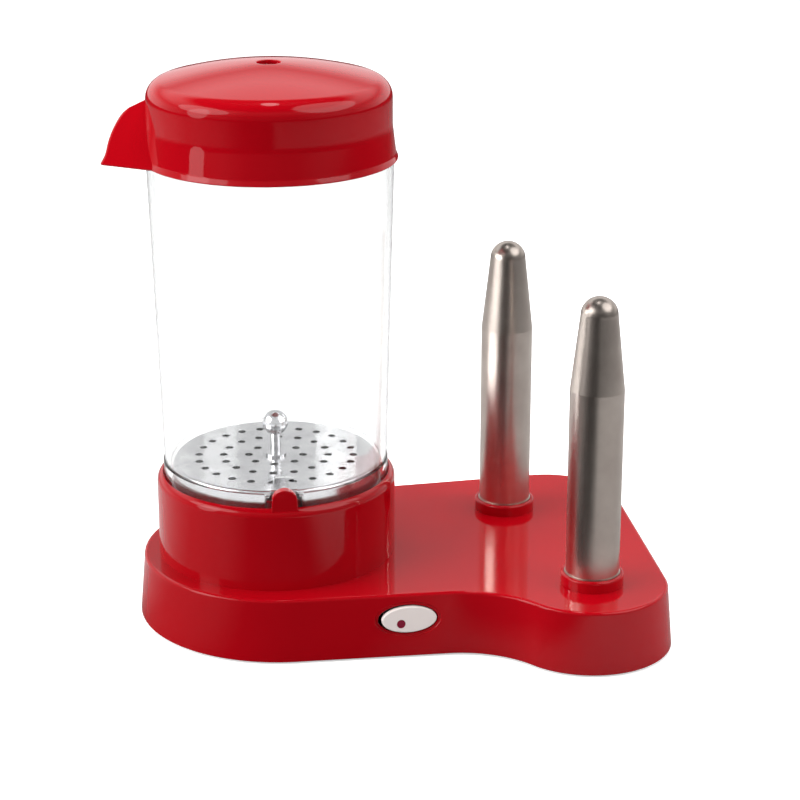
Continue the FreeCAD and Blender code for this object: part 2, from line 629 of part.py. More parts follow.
def oval(label, frame, half_w, half_h, depth):
    """An elliptical block; its axis runs along the frame's Z."""
    edge = bind(DOC.addObject("Part::Ellipse", label + "_edge"), MajorRadius=half_w, MinorRadius=half_h)
    block = DOC.addObject("Part::Extrusion", label)
    block.Base = edge
    block.DirMode = "Custom"
    block.Dir = V(0, 0, 1)
    block.Solid = True
    return bind(block, LengthFwd=depth, Placement=frame)


def cut(label, base, tools):
    tool = tools[0] if len(tools) == 1 else fuse(label + "_tools", tools)
    result = DOC.addObject("Part::Cut", label)
    result.Label = label
    result.Base = base
    result.Tool = tool
    return result


def fuse(label, pieces):
    result = DOC.addObject("Part::MultiFuse", label)
    result.Label = label
    result.Shapes = pieces
    return result


def group(label, pieces):
    """Loose solids that share one node."""
    result = DOC.addObject("Part::Compound", label)
    result.Label = label
    result.Links = pieces
    return result


def screws(label, spots, seat, frame=None, length="screw_len"):
    """Slotted pan-head screws, driven upwards, with their heads under the height seat."""
    frame = frame + " * " if frame else ""
    made = []
    for number, (x, y) in enumerate(spots, 1):
        name = "%s_%d" % (label, number)
        head = primitive("Cylinder", name + "_head", frame + at(x, y, "%s - screw_head_t" % seat),
                         Radius="screw_head_r", Height="screw_head_t")
        shank = primitive("Cylinder", name + "_shank", frame + at(x, y, seat),
                          Radius="screw_r", Height=length)
        slot = primitive("Box", name + "_slot",
                         frame + at("%s - screw_head_r" % x, "%s - screw_slot_w / 2" % y,
                                    "%s - screw_head_t" % seat),
                         Length="2 * screw_head_r", Width="screw_slot_w", Height="screw_slot_d")
        made.append(cut(name, fuse(name + "_blank", [head, shank]), [slot]))
    return group(label, made)


# ---------------------------------------------------------------- base

def tangent_turn(run_x, run_y, near_r, far_r, side):
    """Direction of the common tangent of two circles, from the near one to the far one, on one side."""
    return math.atan2(run_y, run_x) - side * math.asin((near_r - far_r) / math.hypot(run_x, run_y))


def base_outline(body, name, z, inset):
    """The base's plan at height z: three lobes, the hollow waist and three straight sides, moved inwards."""
    sketch = new_sketch(body, name, "XY_Plane", at("0", "0", z))
    lobes = [(x, y, "%s - (%s)" % (radius, inset))
             for x, y, radius in (LOBES["left"], LOBES["front"], LOBES["rear"])]
    left, front, rear = [(V(size(x), size(y), 0), size(radius)) for x, y, radius in lobes]
    waist_r = size("waist_r + (%s)" % inset)
    quarter = math.pi / 2

    front_a = math.radians(size("front_edge_a"))
    along = V(math.cos(front_a), math.sin(front_a), 0)
    out = V(math.sin(front_a), -math.cos(front_a), 0)
    to_front = front[0] - left[0]
    drop = left[1] + waist_r - to_front.dot(out)
    reach = to_front.dot(along) - math.sqrt((front[1] + waist_r) ** 2 - drop ** 2)
    waist = left[0] + out * (left[1] + waist_r) + along * reach
    meet_a = math.atan2(front[0].y - waist.y, front[0].x - waist.x)
    run = rear[0] - front[0]
    right_a = tangent_turn(run.x, run.y, front[1], rear[1], -1)
    run = rear[0] - left[0]
    back_a = tangent_turn(run.x, run.y, left[1], rear[1], 1)

    def spot(circle, angle):
        return circle[0] + V(math.cos(angle), math.sin(angle), 0) * circle[1]

    def arc(circle, begin, finish):
        round_ = Part.Circle(circle[0], V(0, 0, 1), circle[1])
        return sketch.addGeometry(Part.ArcOfCircle(round_, begin, finish), False)

    def line(start, end):
        return sketch.addGeometry(Part.LineSegment(start, end), False)

    left_arc = arc(left, back_a + quarter, front_a + 3 * quarter)
    front_line = line(spot(left, front_a - quarter), spot((waist, waist_r), front_a + quarter))
    waist_arc = arc((waist, waist_r), meet_a, front_a + quarter)
    front_arc = arc(front, meet_a + math.pi, right_a - quarter + 2 * math.pi)
    right_line = line(spot(front, right_a - quarter), spot(rear, right_a - quarter))
    rear_arc = arc(rear, right_a - quarter, back_a + quarter)
    back_line = line(spot(rear, back_a + quarter), spot(left, back_a + quarter))

    joins = [(left_arc, 2, front_line, 1), (front_line, 2, waist_arc, 2), (waist_arc, 1, front_arc, 1),
             (front_arc, 2, right_line, 1), (right_line, 2, rear_arc, 1), (rear_arc, 2, back_line, 1),
             (back_line, 2, left_arc, 1)]
    for join in joins:
        sketch.addConstraint(Sketcher.Constraint("Tangent", *join))
    for geo, (x, y, radius) in zip((left_arc, front_arc, rear_arc), lobes):
        hold(sketch, geo, 3, x, y)
        hold_radius(sketch, geo, radius)
    hold_radius(sketch, waist_arc, "waist_r + (%s)" % inset)
    index = sketch.addConstraint(Sketcher.Constraint("Angle", front_line, front_a))
    sketch.setExpression("Constraints[%d]" % index, named("front_edge_a * 1 deg"))
    return sketch


def ring_plan(body, name, z, rounds):
    sketch = new_sketch(body, name, "XY_Plane", at("0", "0", z))
    circles(sketch, rounds)
    return sketch


def on_spike_line(distance):
    """Plan position at a distance from the middle of the two spikes, towards the front one."""
    return ("spike_mid_x + (%s) * cos(spike_line_a)" % distance,
            "spike_mid_y + (%s) * sin(spike_line_a)" % distance)


BRACKET_SCREWS = ["%s %s bracket_screw_s" % (spike, sign) for spike in ("-spike_span / 2", "spike_span / 2")
                  for sign in "-+"]
SPIKES = {"rear": ("rear_spike_x", "rear_spike_y", REAR_SPIKE),
          "front": ("front_spike_x", "front_spike_y", FRONT_SPIKE)}


def tab_outline(sketch):
    """The key tab seen from outside: sides that lean in a little and an arched top."""
    corner_z, half = "tab_top - tab_rise", "(tab_w / 2 - tab_narrow)"
    arch_r = "(%s * %s + tab_rise * tab_rise) / (2 * tab_rise)" % (half, half)
    loop(sketch, [("-tab_w / 2", "chamber_foot_z"), ("tab_w / 2", "chamber_foot_z"), (half, corner_z),
                  ("-" + half, corner_z, ("left", arch_r))])


def facing_tab(distance):
    """Offset of an XZ sketch that faces outwards along the tab's direction, away from the tower axis."""
    return at("tower_x + (%s) * cos(tab_a)" % distance, "0", "-(tower_y + (%s) * sin(tab_a))" % distance,
              "tab_a + 90", "0; 1; 0")


def make_base():
    """One moulding: skirt and plate, tower, rim with its key tab, spike sockets and screw pillars."""
    body = new_body("base_moulding")
    pad(body, base_outline(body, "skirt", "skirt_z", "0"), "skirt_h", taper="-draft_a")
    top = size("plate_top")
    fillet(body, "plate_edge", "plate_edge_r", lambda spot: abs(spot.z - top) < NEAR)
    pocket(body, base_outline(body, "cavity", "skirt_z", "shell_wall"), "plate_under - skirt_z",
           down=False, taper="-draft_a")

    tower = [("tower_x", "tower_y", "tower_r")]
    pad(body, ring_plan(body, "tower", "plate_under", tower), "rim_top - plate_under")
    rim = size("rim_top")
    fillet(body, "rim_round", "rim_round_r", lambda spot: abs(spot.z - rim) < NEAR)
    bore = [("tower_x", "tower_y", "tower_bore_r")]
    pocket(body, ring_plan(body, "tower_bore", "plate_under", bore), "ledge_z - ledge_t - plate_under",
           down=False)
    seat = [("tower_x", "tower_y", "rim_bore_r")]
    pocket(body, ring_plan(body, "rim_bore", "ledge_z", seat), "rim_top - ledge_z", down=False)
    axis = V(size("tower_x"), size("tower_y"), 0)
    bore_r, ledge = size("rim_bore_r"), size("ledge_z")
    fillet(body, "rim_edge", "rim_edge_r",
           lambda spot: spot.z > ledge + NEAR and abs((V(spot.x, spot.y, 0) - axis).Length - bore_r) < NEAR)
    opening = [("tower_x", "tower_y", "ledge_bore_r")]
    pocket(body, ring_plan(body, "ledge_bore", "ledge_z", opening), "ledge_t")
    tab = new_sketch(body, "key_tab", "XZ_Plane", facing_tab("tab_back_r"))
    tab_outline(tab)
    pad(body, tab, "tab_front_r - tab_back_r")

    sockets = [(x, y, "sleeve_r") for x, y, _ in SPIKES.values()]
    pad(body, ring_plan(body, "sockets", "flange_seat_z", sockets), "plate_under - flange_seat_z")
    holes = [(x, y, "plate_hole_r") for x, y, _ in SPIKES.values()]
    pocket(body, ring_plan(body, "spike_holes", "plate_top", holes), "plate_top - flange_seat_z")

    spots = [on_spike_line(distance) for distance in BRACKET_SCREWS]
    clamp_spots = [beside_inlet(x, "clamp_d") for x in ("-clamp_pitch / 2", "clamp_pitch / 2")]
    for name, foot, places in (("bracket_pillars", "spike_foot_z", spots),
                               ("cover_pillars", "cover_pillar_z", COVER_SCREWS),
                               ("clamp_pillars", "clamp_z + clamp_t + pillar_gap", clamp_spots)):
        pillars = [(x, y, "pillar_r") for x, y in places]
        pad(body, ring_plan(body, name, foot, pillars), "plate_under - (%s)" % foot)
        pilots = [(x, y, "pilot_r") for x, y in places]
        pocket(body, ring_plan(body, name + "_holes", foot, pilots), "screw_len", down=False)

    opening = oval("switch_opening", SWITCH + " * " + at("0", "-recess_d", "0", "-90", "1; 0; 0"),
                   "rocker_w / 2 + rocker_gap_x", "rocker_h / 2 + rocker_gap_z", "3 * shell_wall")
    recess = oval("switch_recess", SWITCH + " * " + at("0", "-shell_wall", "0", "-90", "1; 0; 0"),
                  "rocker_w / 2 + rocker_gap_x + recess_w", "rocker_h / 2 + rocker_gap_z + recess_w",
                  "shell_wall + recess_d")
    inlet = primitive("Cylinder", "inlet_hole",
                      INLET + " * " + at("0", "-shell_wall", "0", "-90", "1; 0; 0"),
                      Radius="grommet_neck_r + collar_gap", Height="3 * shell_wall")
    return cut("base_shell", body, [opening, recess, inlet])


def make_cover():
    """Bottom cover inside the skirt, with holes for its screws and feet and a row of cooling slots."""
    body = new_body("bottom_cover")
    pad(body, base_outline(body, "cover", "cover_z", "cover_inset"), "cover_t", taper="-draft_a")
    rounds = [(x, y, "screw_pass_r") for x, y in COVER_SCREWS]
    rounds += [(x, y, "foot_stem_r + foot_stem_gap") for x, y in FEET]
    pocket(body, ring_plan(body, "cover_holes", "cover_z", rounds), "cover_t", down=False)
    slots = new_sketch(body, "cooling_slots", "XY_Plane", at("0", "0", "cover_z"))
    for step in range(-2, 3):
        rectangle(slots, "tower_x", "tower_y + %d * cover_vent_pitch" % step, "cover_vent_l", "cover_vent_w")
    pocket(body, slots, "cover_t", down=False)
    cover_screws = screws("cover_screws", COVER_SCREWS, "cover_z")
    feet = []
    for number, (x, y) in enumerate(FEET, 1):
        barb_z = "cover_top + foot_stem_gap"
        feet.append(turned("foot_%d" % number, [
            ("0", "0"), ("foot_r - foot_bevel", "0"), ("foot_r", "foot_bevel"), ("foot_r", "cover_z"),
            ("foot_stem_r", "cover_z"), ("foot_stem_r", barb_z), ("foot_stem_r + foot_barb_w", barb_z),
            ("foot_stem_r", "%s + foot_barb_h" % barb_z), ("0", "%s + foot_barb_h" % barb_z)],
            at(x, y, "0")))
    return [body, cover_screws, group("rubber_feet", feet)]


# ---------------------------------------------------------------- tower's inside

def make_heater():
    """Dish with its stud, the ring element, the yoke and nut that clamp them, thermostat and fuse."""
    floor_in = "dish_floor_z + dish_sheet"
    corner, bowl_z = "dish_r - dish_corner_r", "dish_floor_z + dish_corner_r"
    dish_form = turned("dish_form", [
        ("0", "dish_floor_z"), (corner, "dish_floor_z"), ("dish_r", bowl_z, "tangent"),
        ("dish_r", "ledge_z"), ("flange_r", "ledge_z"), ("flange_r", "flange_top"),
        ("dish_bore_r", "flange_top"), ("dish_bore_r", bowl_z),
        (corner, floor_in, ("right", "dish_corner_r - dish_sheet")), ("0", floor_in)], TOWER)
    stud = primitive("Cylinder", "dish_stud", TOWER + " * " + at("0", "0", "nut_foot_z - stud_end"),
                     Radius="stud_r", Height="dish_floor_z + dish_sheet / 2 - nut_foot_z + stud_end")
    dish = fuse("heating_dish", [dish_form, stud])

    ring_z = "dish_floor_z - element_gap - element_tube_r"
    turn = "90 + (360 - element_turn) / 2"
    ring = primitive("Torus", "element_ring", TOWER + " * " + at("0", "0", ring_z, turn),
                     Radius1="element_r", Radius2="element_tube_r", Angle3="element_turn")
    parts = [ring]
    for number, angle in enumerate((turn, turn + " + element_turn"), 1):
        x, y = "element_r * cos(%s)" % angle, "element_r * sin(%s)" % angle
        parts.append(primitive("Sphere", "element_bend_%d" % number, TOWER + " * " + at(x, y, ring_z),
                               Radius="element_tube_r"))
        parts.append(primitive("Cylinder", "element_tail_%d" % number,
                               TOWER + " * " + at(x, y, ring_z + " - element_tail"),
                               Radius="element_tube_r", Height="element_tail"))
    element = fuse("ring_element", parts)

    yoke = new_body("clamp_yoke", TOWER)
    side = new_sketch(yoke, "yoke_side", "XZ_Plane")
    under = "ledge_z - ledge_t"
    leg = "yoke_leg_r"
    loop(side, [
        ("-yoke_foot_r", under), ("-yoke_foot_r", under + " - yoke_t"), ("-" + leg, under + " - yoke_t"),
        ("-" + leg, "yoke_z - yoke_t"), (leg, "yoke_z - yoke_t"), (leg, under + " - yoke_t"),
        ("yoke_foot_r", under + " - yoke_t"), ("yoke_foot_r", under), (leg + " - yoke_t", under),
        (leg + " - yoke_t", "yoke_z"), ("yoke_t - " + leg, "yoke_z"), ("yoke_t - " + leg, under)])
    pad(yoke, side, "yoke_w", middle=True)
    pocket(yoke, ring_plan(yoke, "yoke_hole", "yoke_z", [("0", "0", "yoke_hole_r")]), "yoke_t")

    nut = new_body("yoke_nut", TOWER)
    plan = new_sketch(nut, "nut_plan", "XY_Plane", at("0", "0", "nut_foot_z"))
    flat, point = "nut_w / 2", "nut_w / 2 * tan(30)"
    loop(plan, [(flat, "-" + point), (flat, point), ("0", "nut_w / sqrt(3)"), ("-" + flat, point),
                ("-" + flat, "-" + point), ("0", "-nut_w / sqrt(3)")])
    pad(nut, plan, "nut_t")
    pocket(nut, ring_plan(nut, "nut_bore", "yoke_z - yoke_t", [("0", "0", "stud_r + nut_gap")]), "nut_t")

    can = "dish_floor_z - element_gap"
    waist, half_way = "thermostat_r - thermostat_step", can + " - thermostat_h / 2"
    thermostat = turned("thermostat", [
        ("0", can), ("0", can + " - thermostat_h"), (waist, can + " - thermostat_h"), (waist, half_way),
        ("thermostat_r", half_way), ("thermostat_r", can)], TOWER + " * " + at("0", "thermostat_s", "0"))
    fuse_z = "dish_floor_z - element_gap - fuse_r"
    fuse_body = primitive("Cylinder", "thermal_fuse",
                          TOWER + " * " + at("-fuse_l / 2", "-fuse_s", fuse_z, "90", "0; 1; 0"),
                          Radius="fuse_r", Height="fuse_l")
    return [dish, element, yoke, nut, thermostat, fuse_body]


def make_gasket():
    """Silicone ring on the dish's flange; the chamber's foot stands on it."""
    inner = "flange_r - gasket_w"
    return turned("chamber_gasket", [(inner, "flange_top"), ("flange_r", "flange_top"),
                                     ("flange_r", "gasket_top"), (inner, "gasket_top")], TOWER)


def make_rack():
    """Perforated plate that the sausages stand on, pressed from sheet, and the knob that lifts it."""
    bend, sheet = "rack_round_r", "rack_sheet"
    body = turned("rack_plate", [
        ("knob_stem_r + knob_gap", "rack_top_z - " + sheet),
        ("rack_r - " + bend, "rack_top_z - " + sheet),
        ("rack_r - " + sheet, "rack_top_z - " + bend, ("right", bend + " - " + sheet)),
        ("rack_r - " + sheet, "rack_foot_z"), ("rack_r", "rack_foot_z"),
        ("rack_r", "rack_top_z - " + bend),
        ("rack_r - " + bend, "rack_top_z", ("left", bend)),
        ("knob_stem_r + knob_gap", "rack_top_z")], TOWER)
    for number, count in ((1, 8), (2, 16), (3, 24)):
        hole = ring_plan(body, "steam_hole_%d" % number, "rack_top_z",
                         [("ring_%d_r" % number, "0", "rack_hole_r")])
        first = pocket(body, hole, sheet)
        ring = body.newObject("PartDesign::PolarPattern", "steam_ring_%d" % number)
        ring.Originals = [first]
        ring.Axis = (hole, ["N_Axis"])
        ring.Angle = 360
        ring.Occurrences = count
        body.Tip = ring
        DOC.recompute()
    under = "rack_top_z - rack_sheet"
    knob = turned("lifting_knob", [
        ("0", under + " - knob_flange_t"), ("knob_flange_r", under + " - knob_flange_t"),
        ("knob_flange_r", under), ("knob_stem_r", under), ("knob_stem_r", "rack_top_z"),
        ("knob_flange_r", "rack_top_z"), ("knob_flange_r", "rack_top_z + knob_flange_t"),
        ("knob_stem_r", "rack_top_z + knob_flange_t"),
        ("knob_stem_r", "knob_z - sqrt(knob_ball_r * knob_ball_r - knob_stem_r * knob_stem_r)"),
        ("knob_ball_r", "knob_z", ("left", "knob_ball_r")),
        ("0", "knob_z + knob_ball_r", ("left", "knob_ball_r"))], TOWER)
    return [body, knob]


def make_chamber():
    """Clear cylinder, wider at its rim, with a thick foot and a notch that fits over the key tab."""
    body = turned("steam_chamber", [
        ("chamber_bore_r", "chamber_foot_z"), ("chamber_foot_r", "chamber_foot_z"),
        ("chamber_foot_r", "foot_top_z"), ("chamber_foot_r - foot_step", "foot_top_z + foot_step"),
        ("chamber_top_r", "chamber_top_z"), ("chamber_top_r - chamber_wall", "chamber_top_z"),
        ("chamber_foot_r - foot_step - chamber_wall", "foot_top_z + foot_step"),
        ("chamber_bore_r", "foot_top_z - foot_step")], TOWER)
    top = size("chamber_top_z")
    fillet(body, "chamber_rim", "chamber_rim_r", lambda spot: abs(spot.z - top) < NEAR)
    notch = new_sketch(body, "notch", "XZ_Plane",
                       at("0", "0", "0", "tab_a + 90", "0; 1; 0"))
    below = "chamber_foot_z - gasket_t"
    loop(notch, [("-notch_half", below), ("notch_half", below),
                 ("notch_half", "throat_z - throat_step"), ("throat_half", "throat_z"),
                 ("notch_top_w / 2", "notch_top_z"), ("-notch_top_w / 2", "notch_top_z"),
                 ("-throat_half", "throat_z"), ("-notch_half", "throat_z - throat_step")])
    pocket(body, notch, "chamber_top_r", down=False)
    return body


# ---------------------------------------------------------------- lid

def beak_back_at(side, value, inset):
    """A coordinate of the point of the handle's back round where the other coordinate is value."""
    centre, other = ("beak_back_z", "beak_back_x") if side == "x" else ("beak_back_x", "beak_back_z")
    radius = "(beak_back_r - %s)" % inset
    return "%s + sqrt(%s * %s - (%s - %s) * (%s - %s))" % (other, radius, radius, value, centre, value, centre)


def beak_form(label, inset):
    """The handle's outer form, or its hollow when inset by the wall: a plan that widens towards the lid,
    cut to a side view of a flared lip and one large round, and two sides that lean to a ridge."""
    body = new_body(label, TOWER)
    plan = new_sketch(body, label + "_plan", "XY_Plane", at("0", "0", "lid_lip_z"))
    tip = "(beak_reach - %s)" % inset
    tip_half = ("(beak_tip_w / 2 + %s * tan(beak_side_a) - %s / (cos(beak_side_a) * cos(beak_lean_a)))"
                % (inset, inset))
    root_half = "(%s + (%s - beak_root_x) * tan(beak_side_a))" % (tip_half, tip)
    loop(plan, [("-" + tip, "-" + tip_half), ("-beak_root_x", "-" + root_half),
                ("-beak_root_x", root_half), ("-" + tip, tip_half)])
    pad(body, plan, "beak_top_z - lid_lip_z")
    side = new_sketch(body, label + "_side", "XZ_Plane")
    lip_top = "(beak_lip_z + beak_lip - %s / 2)" % inset
    beyond, high = "-%s - beak_wall" % tip, "beak_top_z + beak_wall"
    loop(side, [(beyond, "beak_lip_z"), ("-" + tip, "beak_lip_z"),
                ("-(%s)" % beak_back_at("x", lip_top, inset), lip_top),
                ("-beak_root_x", beak_back_at("z", "beak_root_x", inset), ("right", "beak_back_r - " + inset)),
                ("-beak_root_x", high), (beyond, high)])
    pocket(body, side, "2 * " + root_half, middle=True)
    for name, way, back in (("near", "-", ""), ("far", "", "-")):
        lean = new_sketch(body, "%s_%s" % (label, name), "XZ_Plane",
                          at("-" + tip, "0", back + tip_half, way + "(90 + beak_side_a)", "0; 1; 0"))
        loop(lean, [("0", "beak_lip_z"), ("beak_tip_w", "beak_lip_z"), ("beak_tip_w", high),
                    ("(beak_lip_z - (%s)) * tan(beak_lean_a)" % high, high)])
        pocket(body, lean, "2 * beak_reach / cos(beak_side_a)", middle=True)
    return body


def make_lid():
    """Domed cap with a flared lip, a vent in its top and a hollow beak for a handle."""
    dome = turned("lid_dome", [
        ("0", "lid_lip_z"), ("lid_lip_r", "lid_lip_z"), ("lid_flare_r", "lid_flare_z"),
        ("lid_wall_r", "lid_flare_top_z"), ("lid_wall_r", "lid_shoulder_z"),
        ("lid_crown_r", "lid_crown_z", "tangent"), ("0", "lid_top", "tangent")], TOWER)
    hollow = turned("lid_hollow", [
        ("0", "lid_lip_z - lip_h"), ("lip_bore_r", "lid_lip_z - lip_h"), ("lip_bore_r", "lid_seat_z"),
        ("lid_bore_r", "lid_seat_z"), ("lid_bore_r", "lid_shoulder_z"),
        ("lid_crown_r", "lid_crown_z - lid_wall_t", "tangent"), ("0", "lid_top - lid_wall_t", "tangent")],
        TOWER)
    back = beak_form("beak_back", "0")
    flare_top, root, clear = size("beak_lip_z + beak_lip"), size("beak_root_x"), size("beak_edge_r")
    fillet(back, "beak_edges", "beak_edge_r",
           lambda spot: spot.z > flare_top - NEAR and (abs(spot.y) > clear or spot.z > flare_top + clear)
           and spot.x < NEAR - root)
    scoop = cut("beak_scoop", beak_form("beak_hollow", "beak_wall"), [dome])
    vent = primitive("Cylinder", "lid_vent", TOWER + " * " + at("0", "0", "lid_crown_z - lid_wall_t"),
                     Radius="vent_r", Height="crown_rise + 2 * lid_wall_t")
    return cut("lid_shell", fuse("lid_blank", [dome, back]), [hollow, scoop, vent])


# ---------------------------------------------------------------- spikes

def make_spike(name, frame):
    """One heated spike: its steel tube, the collar on the plate and the heating rod inside."""
    bore = "spike_r - spike_sheet"
    tip_bore = "spike_tip_r - spike_sheet"
    tube = turned(name + "_spike", [
        (bore, "spike_foot_z"), ("spike_flange_r", "spike_foot_z"), ("spike_flange_r", "flange_seat_z"),
        ("spike_foot_r", "flange_seat_z"), ("spike_foot_r", "spike_foot_top"), ("spike_r", "spike_foot_top"),
        ("spike_r", "spike_straight_z"), ("spike_tip_r", "spike_tip_z"),
        ("0", "spike_tip_z + spike_tip_r", ("left", "spike_tip_r")),
        ("0", "spike_tip_z + " + tip_bore), (tip_bore, "spike_tip_z", ("right", tip_bore)),
        (bore, "spike_straight_z")], frame)
    lid_r = "collar_r - collar_round_r"
    collar = turned(name + "_collar", [
        ("collar_bore_r", "plate_under"), ("collar_neck_r", "plate_under"), ("collar_neck_r", "plate_top"),
        ("collar_r", "plate_top"), ("collar_r", "collar_top - collar_round_r"),
        (lid_r, "collar_top", "tangent"), ("collar_bore_r", "collar_top")], frame)
    plug_r = bore + " - rod_plug_gap"
    plug_z = "bracket_top + pillar_gap"
    rod = turned(name + "_heating_rod", [
        ("0", plug_z), (plug_r, plug_z), (plug_r, plug_z + " + rod_plug_h"), ("rod_r", plug_z + " + rod_plug_h"),
        ("rod_r", "rod_top_z"), ("0", "rod_top_z")], frame)
    return [tube, collar, rod]


def make_bracket():
    """Steel strip that presses both spikes' flanges against their sockets."""
    body = new_body("spike_bracket", SPIKE_LINE)
    sketch = new_sketch(body, "bracket_plan", "XY_Plane", at("0", "0", "bracket_foot"))
    half = "spike_span / 2"
    loop(sketch, [("-" + half, "-bracket_r", "tangent"), (half, "-bracket_r"),
                  (half, "bracket_r", "tangent"), ("-" + half, "bracket_r")])
    pad(body, sketch, "bracket_t")
    rounds = [("-" + half, "0", "bracket_bore_r"), (half, "0", "bracket_bore_r")]
    rounds += [(distance, "0", "screw_pass_r") for distance in BRACKET_SCREWS]
    pocket(body, ring_plan(body, "bracket_holes", "bracket_foot", rounds), "bracket_t", down=False)
    bracket_screws = screws("bracket_screws", [(distance, "0") for distance in BRACKET_SCREWS],
                            "bracket_foot", SPIKE_LINE)
    return [body, bracket_screws]


# ---------------------------------------------------------------- switch, cord inlet, terminals

INWARDS = at("0", "0", "0", "-90", "1; 0; 0")


def make_switch():
    """Oval rocker with a coloured dot, on a pin across a housing behind the wall."""
    rocker_frame = "%s * %s * %s" % (SWITCH, at("0", "pivot_d", "0", "rocker_tilt"), at("0", "-pivot_d", "0"))
    face = rocker_frame + " * " + at("0", "-rocker_proud", "0", "-90", "1; 0; 0")
    blank = oval("rocker_blank", at("0", "0", "0"), "rocker_w / 2", "rocker_h / 2", "rocker_t")
    DOC.recompute()
    cap = DOC.addObject("Part::Fillet", "rocker_cap")
    cap.Base = blank
    radius = size("rocker_edge_r")
    front = [int(name[4:]) for name in edges_at(blank.Shape, lambda spot: abs(spot.z) < NEAR)]
    cap.Edges = [(number, radius, radius) for number in front]
    bind(cap, Placement=face)
    hub = primitive("Box", "rocker_hub",
                    rocker_frame + " * " + at("-hub_w / 2", "rocker_t / 2 - rocker_proud", "-hub_h / 2"),
                    Length="hub_w", Width="pivot_d + hub_back + rocker_proud - rocker_t / 2", Height="hub_h")
    bore = primitive("Cylinder", "rocker_bore",
                     rocker_frame + " * " + at("0", "pivot_d", "-hub_h"),
                     Radius="pin_r + pin_gap", Height="2 * hub_h")
    dot_place = "-rocker_proud %s"
    well = primitive("Cylinder", "dot_well",
                     rocker_frame + " * " + at("-dot_x", dot_place % "- dot_t", "-dot_z", "-90", "1; 0; 0"),
                     Radius="dot_r + pin_gap", Height="2 * dot_t")
    dot = primitive("Cylinder", "rocker_dot",
                    rocker_frame + " * " + at("-dot_x", dot_place % "- dot_proud", "-dot_z", "-90", "1; 0; 0"),
                    Radius="dot_r", Height="dot_t")
    rocker = cut("switch_rocker", fuse("rocker_solid", [cap, hub]), [bore, well])

    front_d = "(shell_wall + switch_seat)"
    shell = primitive("Box", "housing_block",
                      SWITCH + " * " + at("-switch_body_w / 2", front_d, "-switch_body_h / 2"),
                      Length="switch_body_w", Width="switch_body_d - " + front_d, Height="switch_body_h")
    well_w, well_h = "(switch_body_w - 2 * switch_body_t)", "(switch_body_h - 2 * switch_body_t)"
    cavity = primitive("Box", "housing_well",
                       SWITCH + " * " + at("-%s / 2" % well_w, front_d + " - switch_body_t", "-%s / 2" % well_h),
                       Length=well_w, Width="switch_body_d - " + front_d, Height=well_h)
    hole = primitive("Cylinder", "housing_hole", SWITCH + " * " + at("0", "pivot_d", "-switch_body_h"),
                     Radius="pin_r + pin_gap", Height="2 * switch_body_h")
    pin = primitive("Cylinder", "rocker_pin", SWITCH + " * " + at("0", "pivot_d", "-switch_body_h / 2"),
                    Radius="pin_r", Height="switch_body_h")
    tabs = [primitive("Box", "switch_tab_%d" % number,
                      SWITCH + " * " + at("%s switch_body_w / 4 - blade_t / 2" % sign, "switch_body_d",
                                          "-blade_w / 2"),
                      Length="blade_t", Width="blade_l", Height="blade_w")
            for number, sign in enumerate(("-", ""), 1)]
    return [rocker, dot, cut("switch_housing", shell, [cavity, hole]), pin, group("switch_tabs", tabs)]


def beside_inlet(x, y):
    """Plan position beside the cord inlet: x along the wall, y into the base."""
    return ("inlet_x - (%s) * cos(back_edge_a) + (%s) * sin(back_edge_a)" % (x, y),
            "inlet_y - (%s) * sin(back_edge_a) - (%s) * cos(back_edge_a)" % (x, y))


def make_inlet():
    """Rubber grommet in the rear wall and the bar that clamps the cord behind it."""
    behind = "shell_wall + pillar_gap"
    grommet = turned("cord_grommet", [
        ("grommet_bore_r", "-grommet_flange_t"), ("grommet_flange_r", "-grommet_flange_t"),
        ("grommet_flange_r", "0"), ("grommet_neck_r", "0"), ("grommet_neck_r", behind),
        ("grommet_flange_r", behind), ("grommet_flange_r", behind + " + grommet_flange_t"),
        ("grommet_bore_r", behind + " + grommet_flange_t")], INLET + " * " + INWARDS)
    flat = at("inlet_x", "inlet_y", "clamp_z", "back_edge_a + 180")
    clamp = new_body("cord_clamp", flat)
    plan = new_sketch(clamp, "clamp_plan")
    rectangle(plan, "0", "clamp_d", "clamp_w", "clamp_b")
    pad(clamp, plan, "clamp_t")
    ends = [("-clamp_pitch / 2", "clamp_d"), ("clamp_pitch / 2", "clamp_d")]
    pocket(clamp, ring_plan(clamp, "clamp_holes", "0", [(x, y, "screw_pass_r") for x, y in ends]),
           "clamp_t", down=False)
    return [grommet, clamp, screws("clamp_screws", ends, "0", flat)]


def make_block():
    """Terminal block on the bottom cover, with a row of brass terminals."""
    spots = ["%d * block_pitch" % step for step in (-1, 0, 1)]
    block = plate("terminal_block", lambda sketch: rectangle(sketch, "0", "0", "block_w", "block_b"),
                  "0", "block_h", BLOCK)
    wells = ring_plan(block, "terminal_wells", "block_h", [(x, "0", "terminal_r + pin_gap") for x in spots])
    pocket(block, wells, "terminal_depth")
    pegs = [primitive("Cylinder", "terminal_%d" % number,
                      BLOCK + " * " + at(x, "0", "block_h - terminal_depth"),
                      Radius="terminal_r", Height="terminal_depth + terminal_h")
            for number, x in enumerate(spots, 1)]
    return [block, group("block_terminals", pegs)]


# ---------------------------------------------------------------- build, check and write

SHEET = fill_sheet()
NODES = [make_base(), make_gasket(), make_chamber(), make_lid()]
NODES += make_cover() + make_heater() + make_rack() + make_bracket()
for spike_name, (_, _, spike_frame) in SPIKES.items():
    NODES += make_spike(spike_name, spike_frame)
NODES += make_switch() + make_inlet() + make_block()
DOC.recompute()

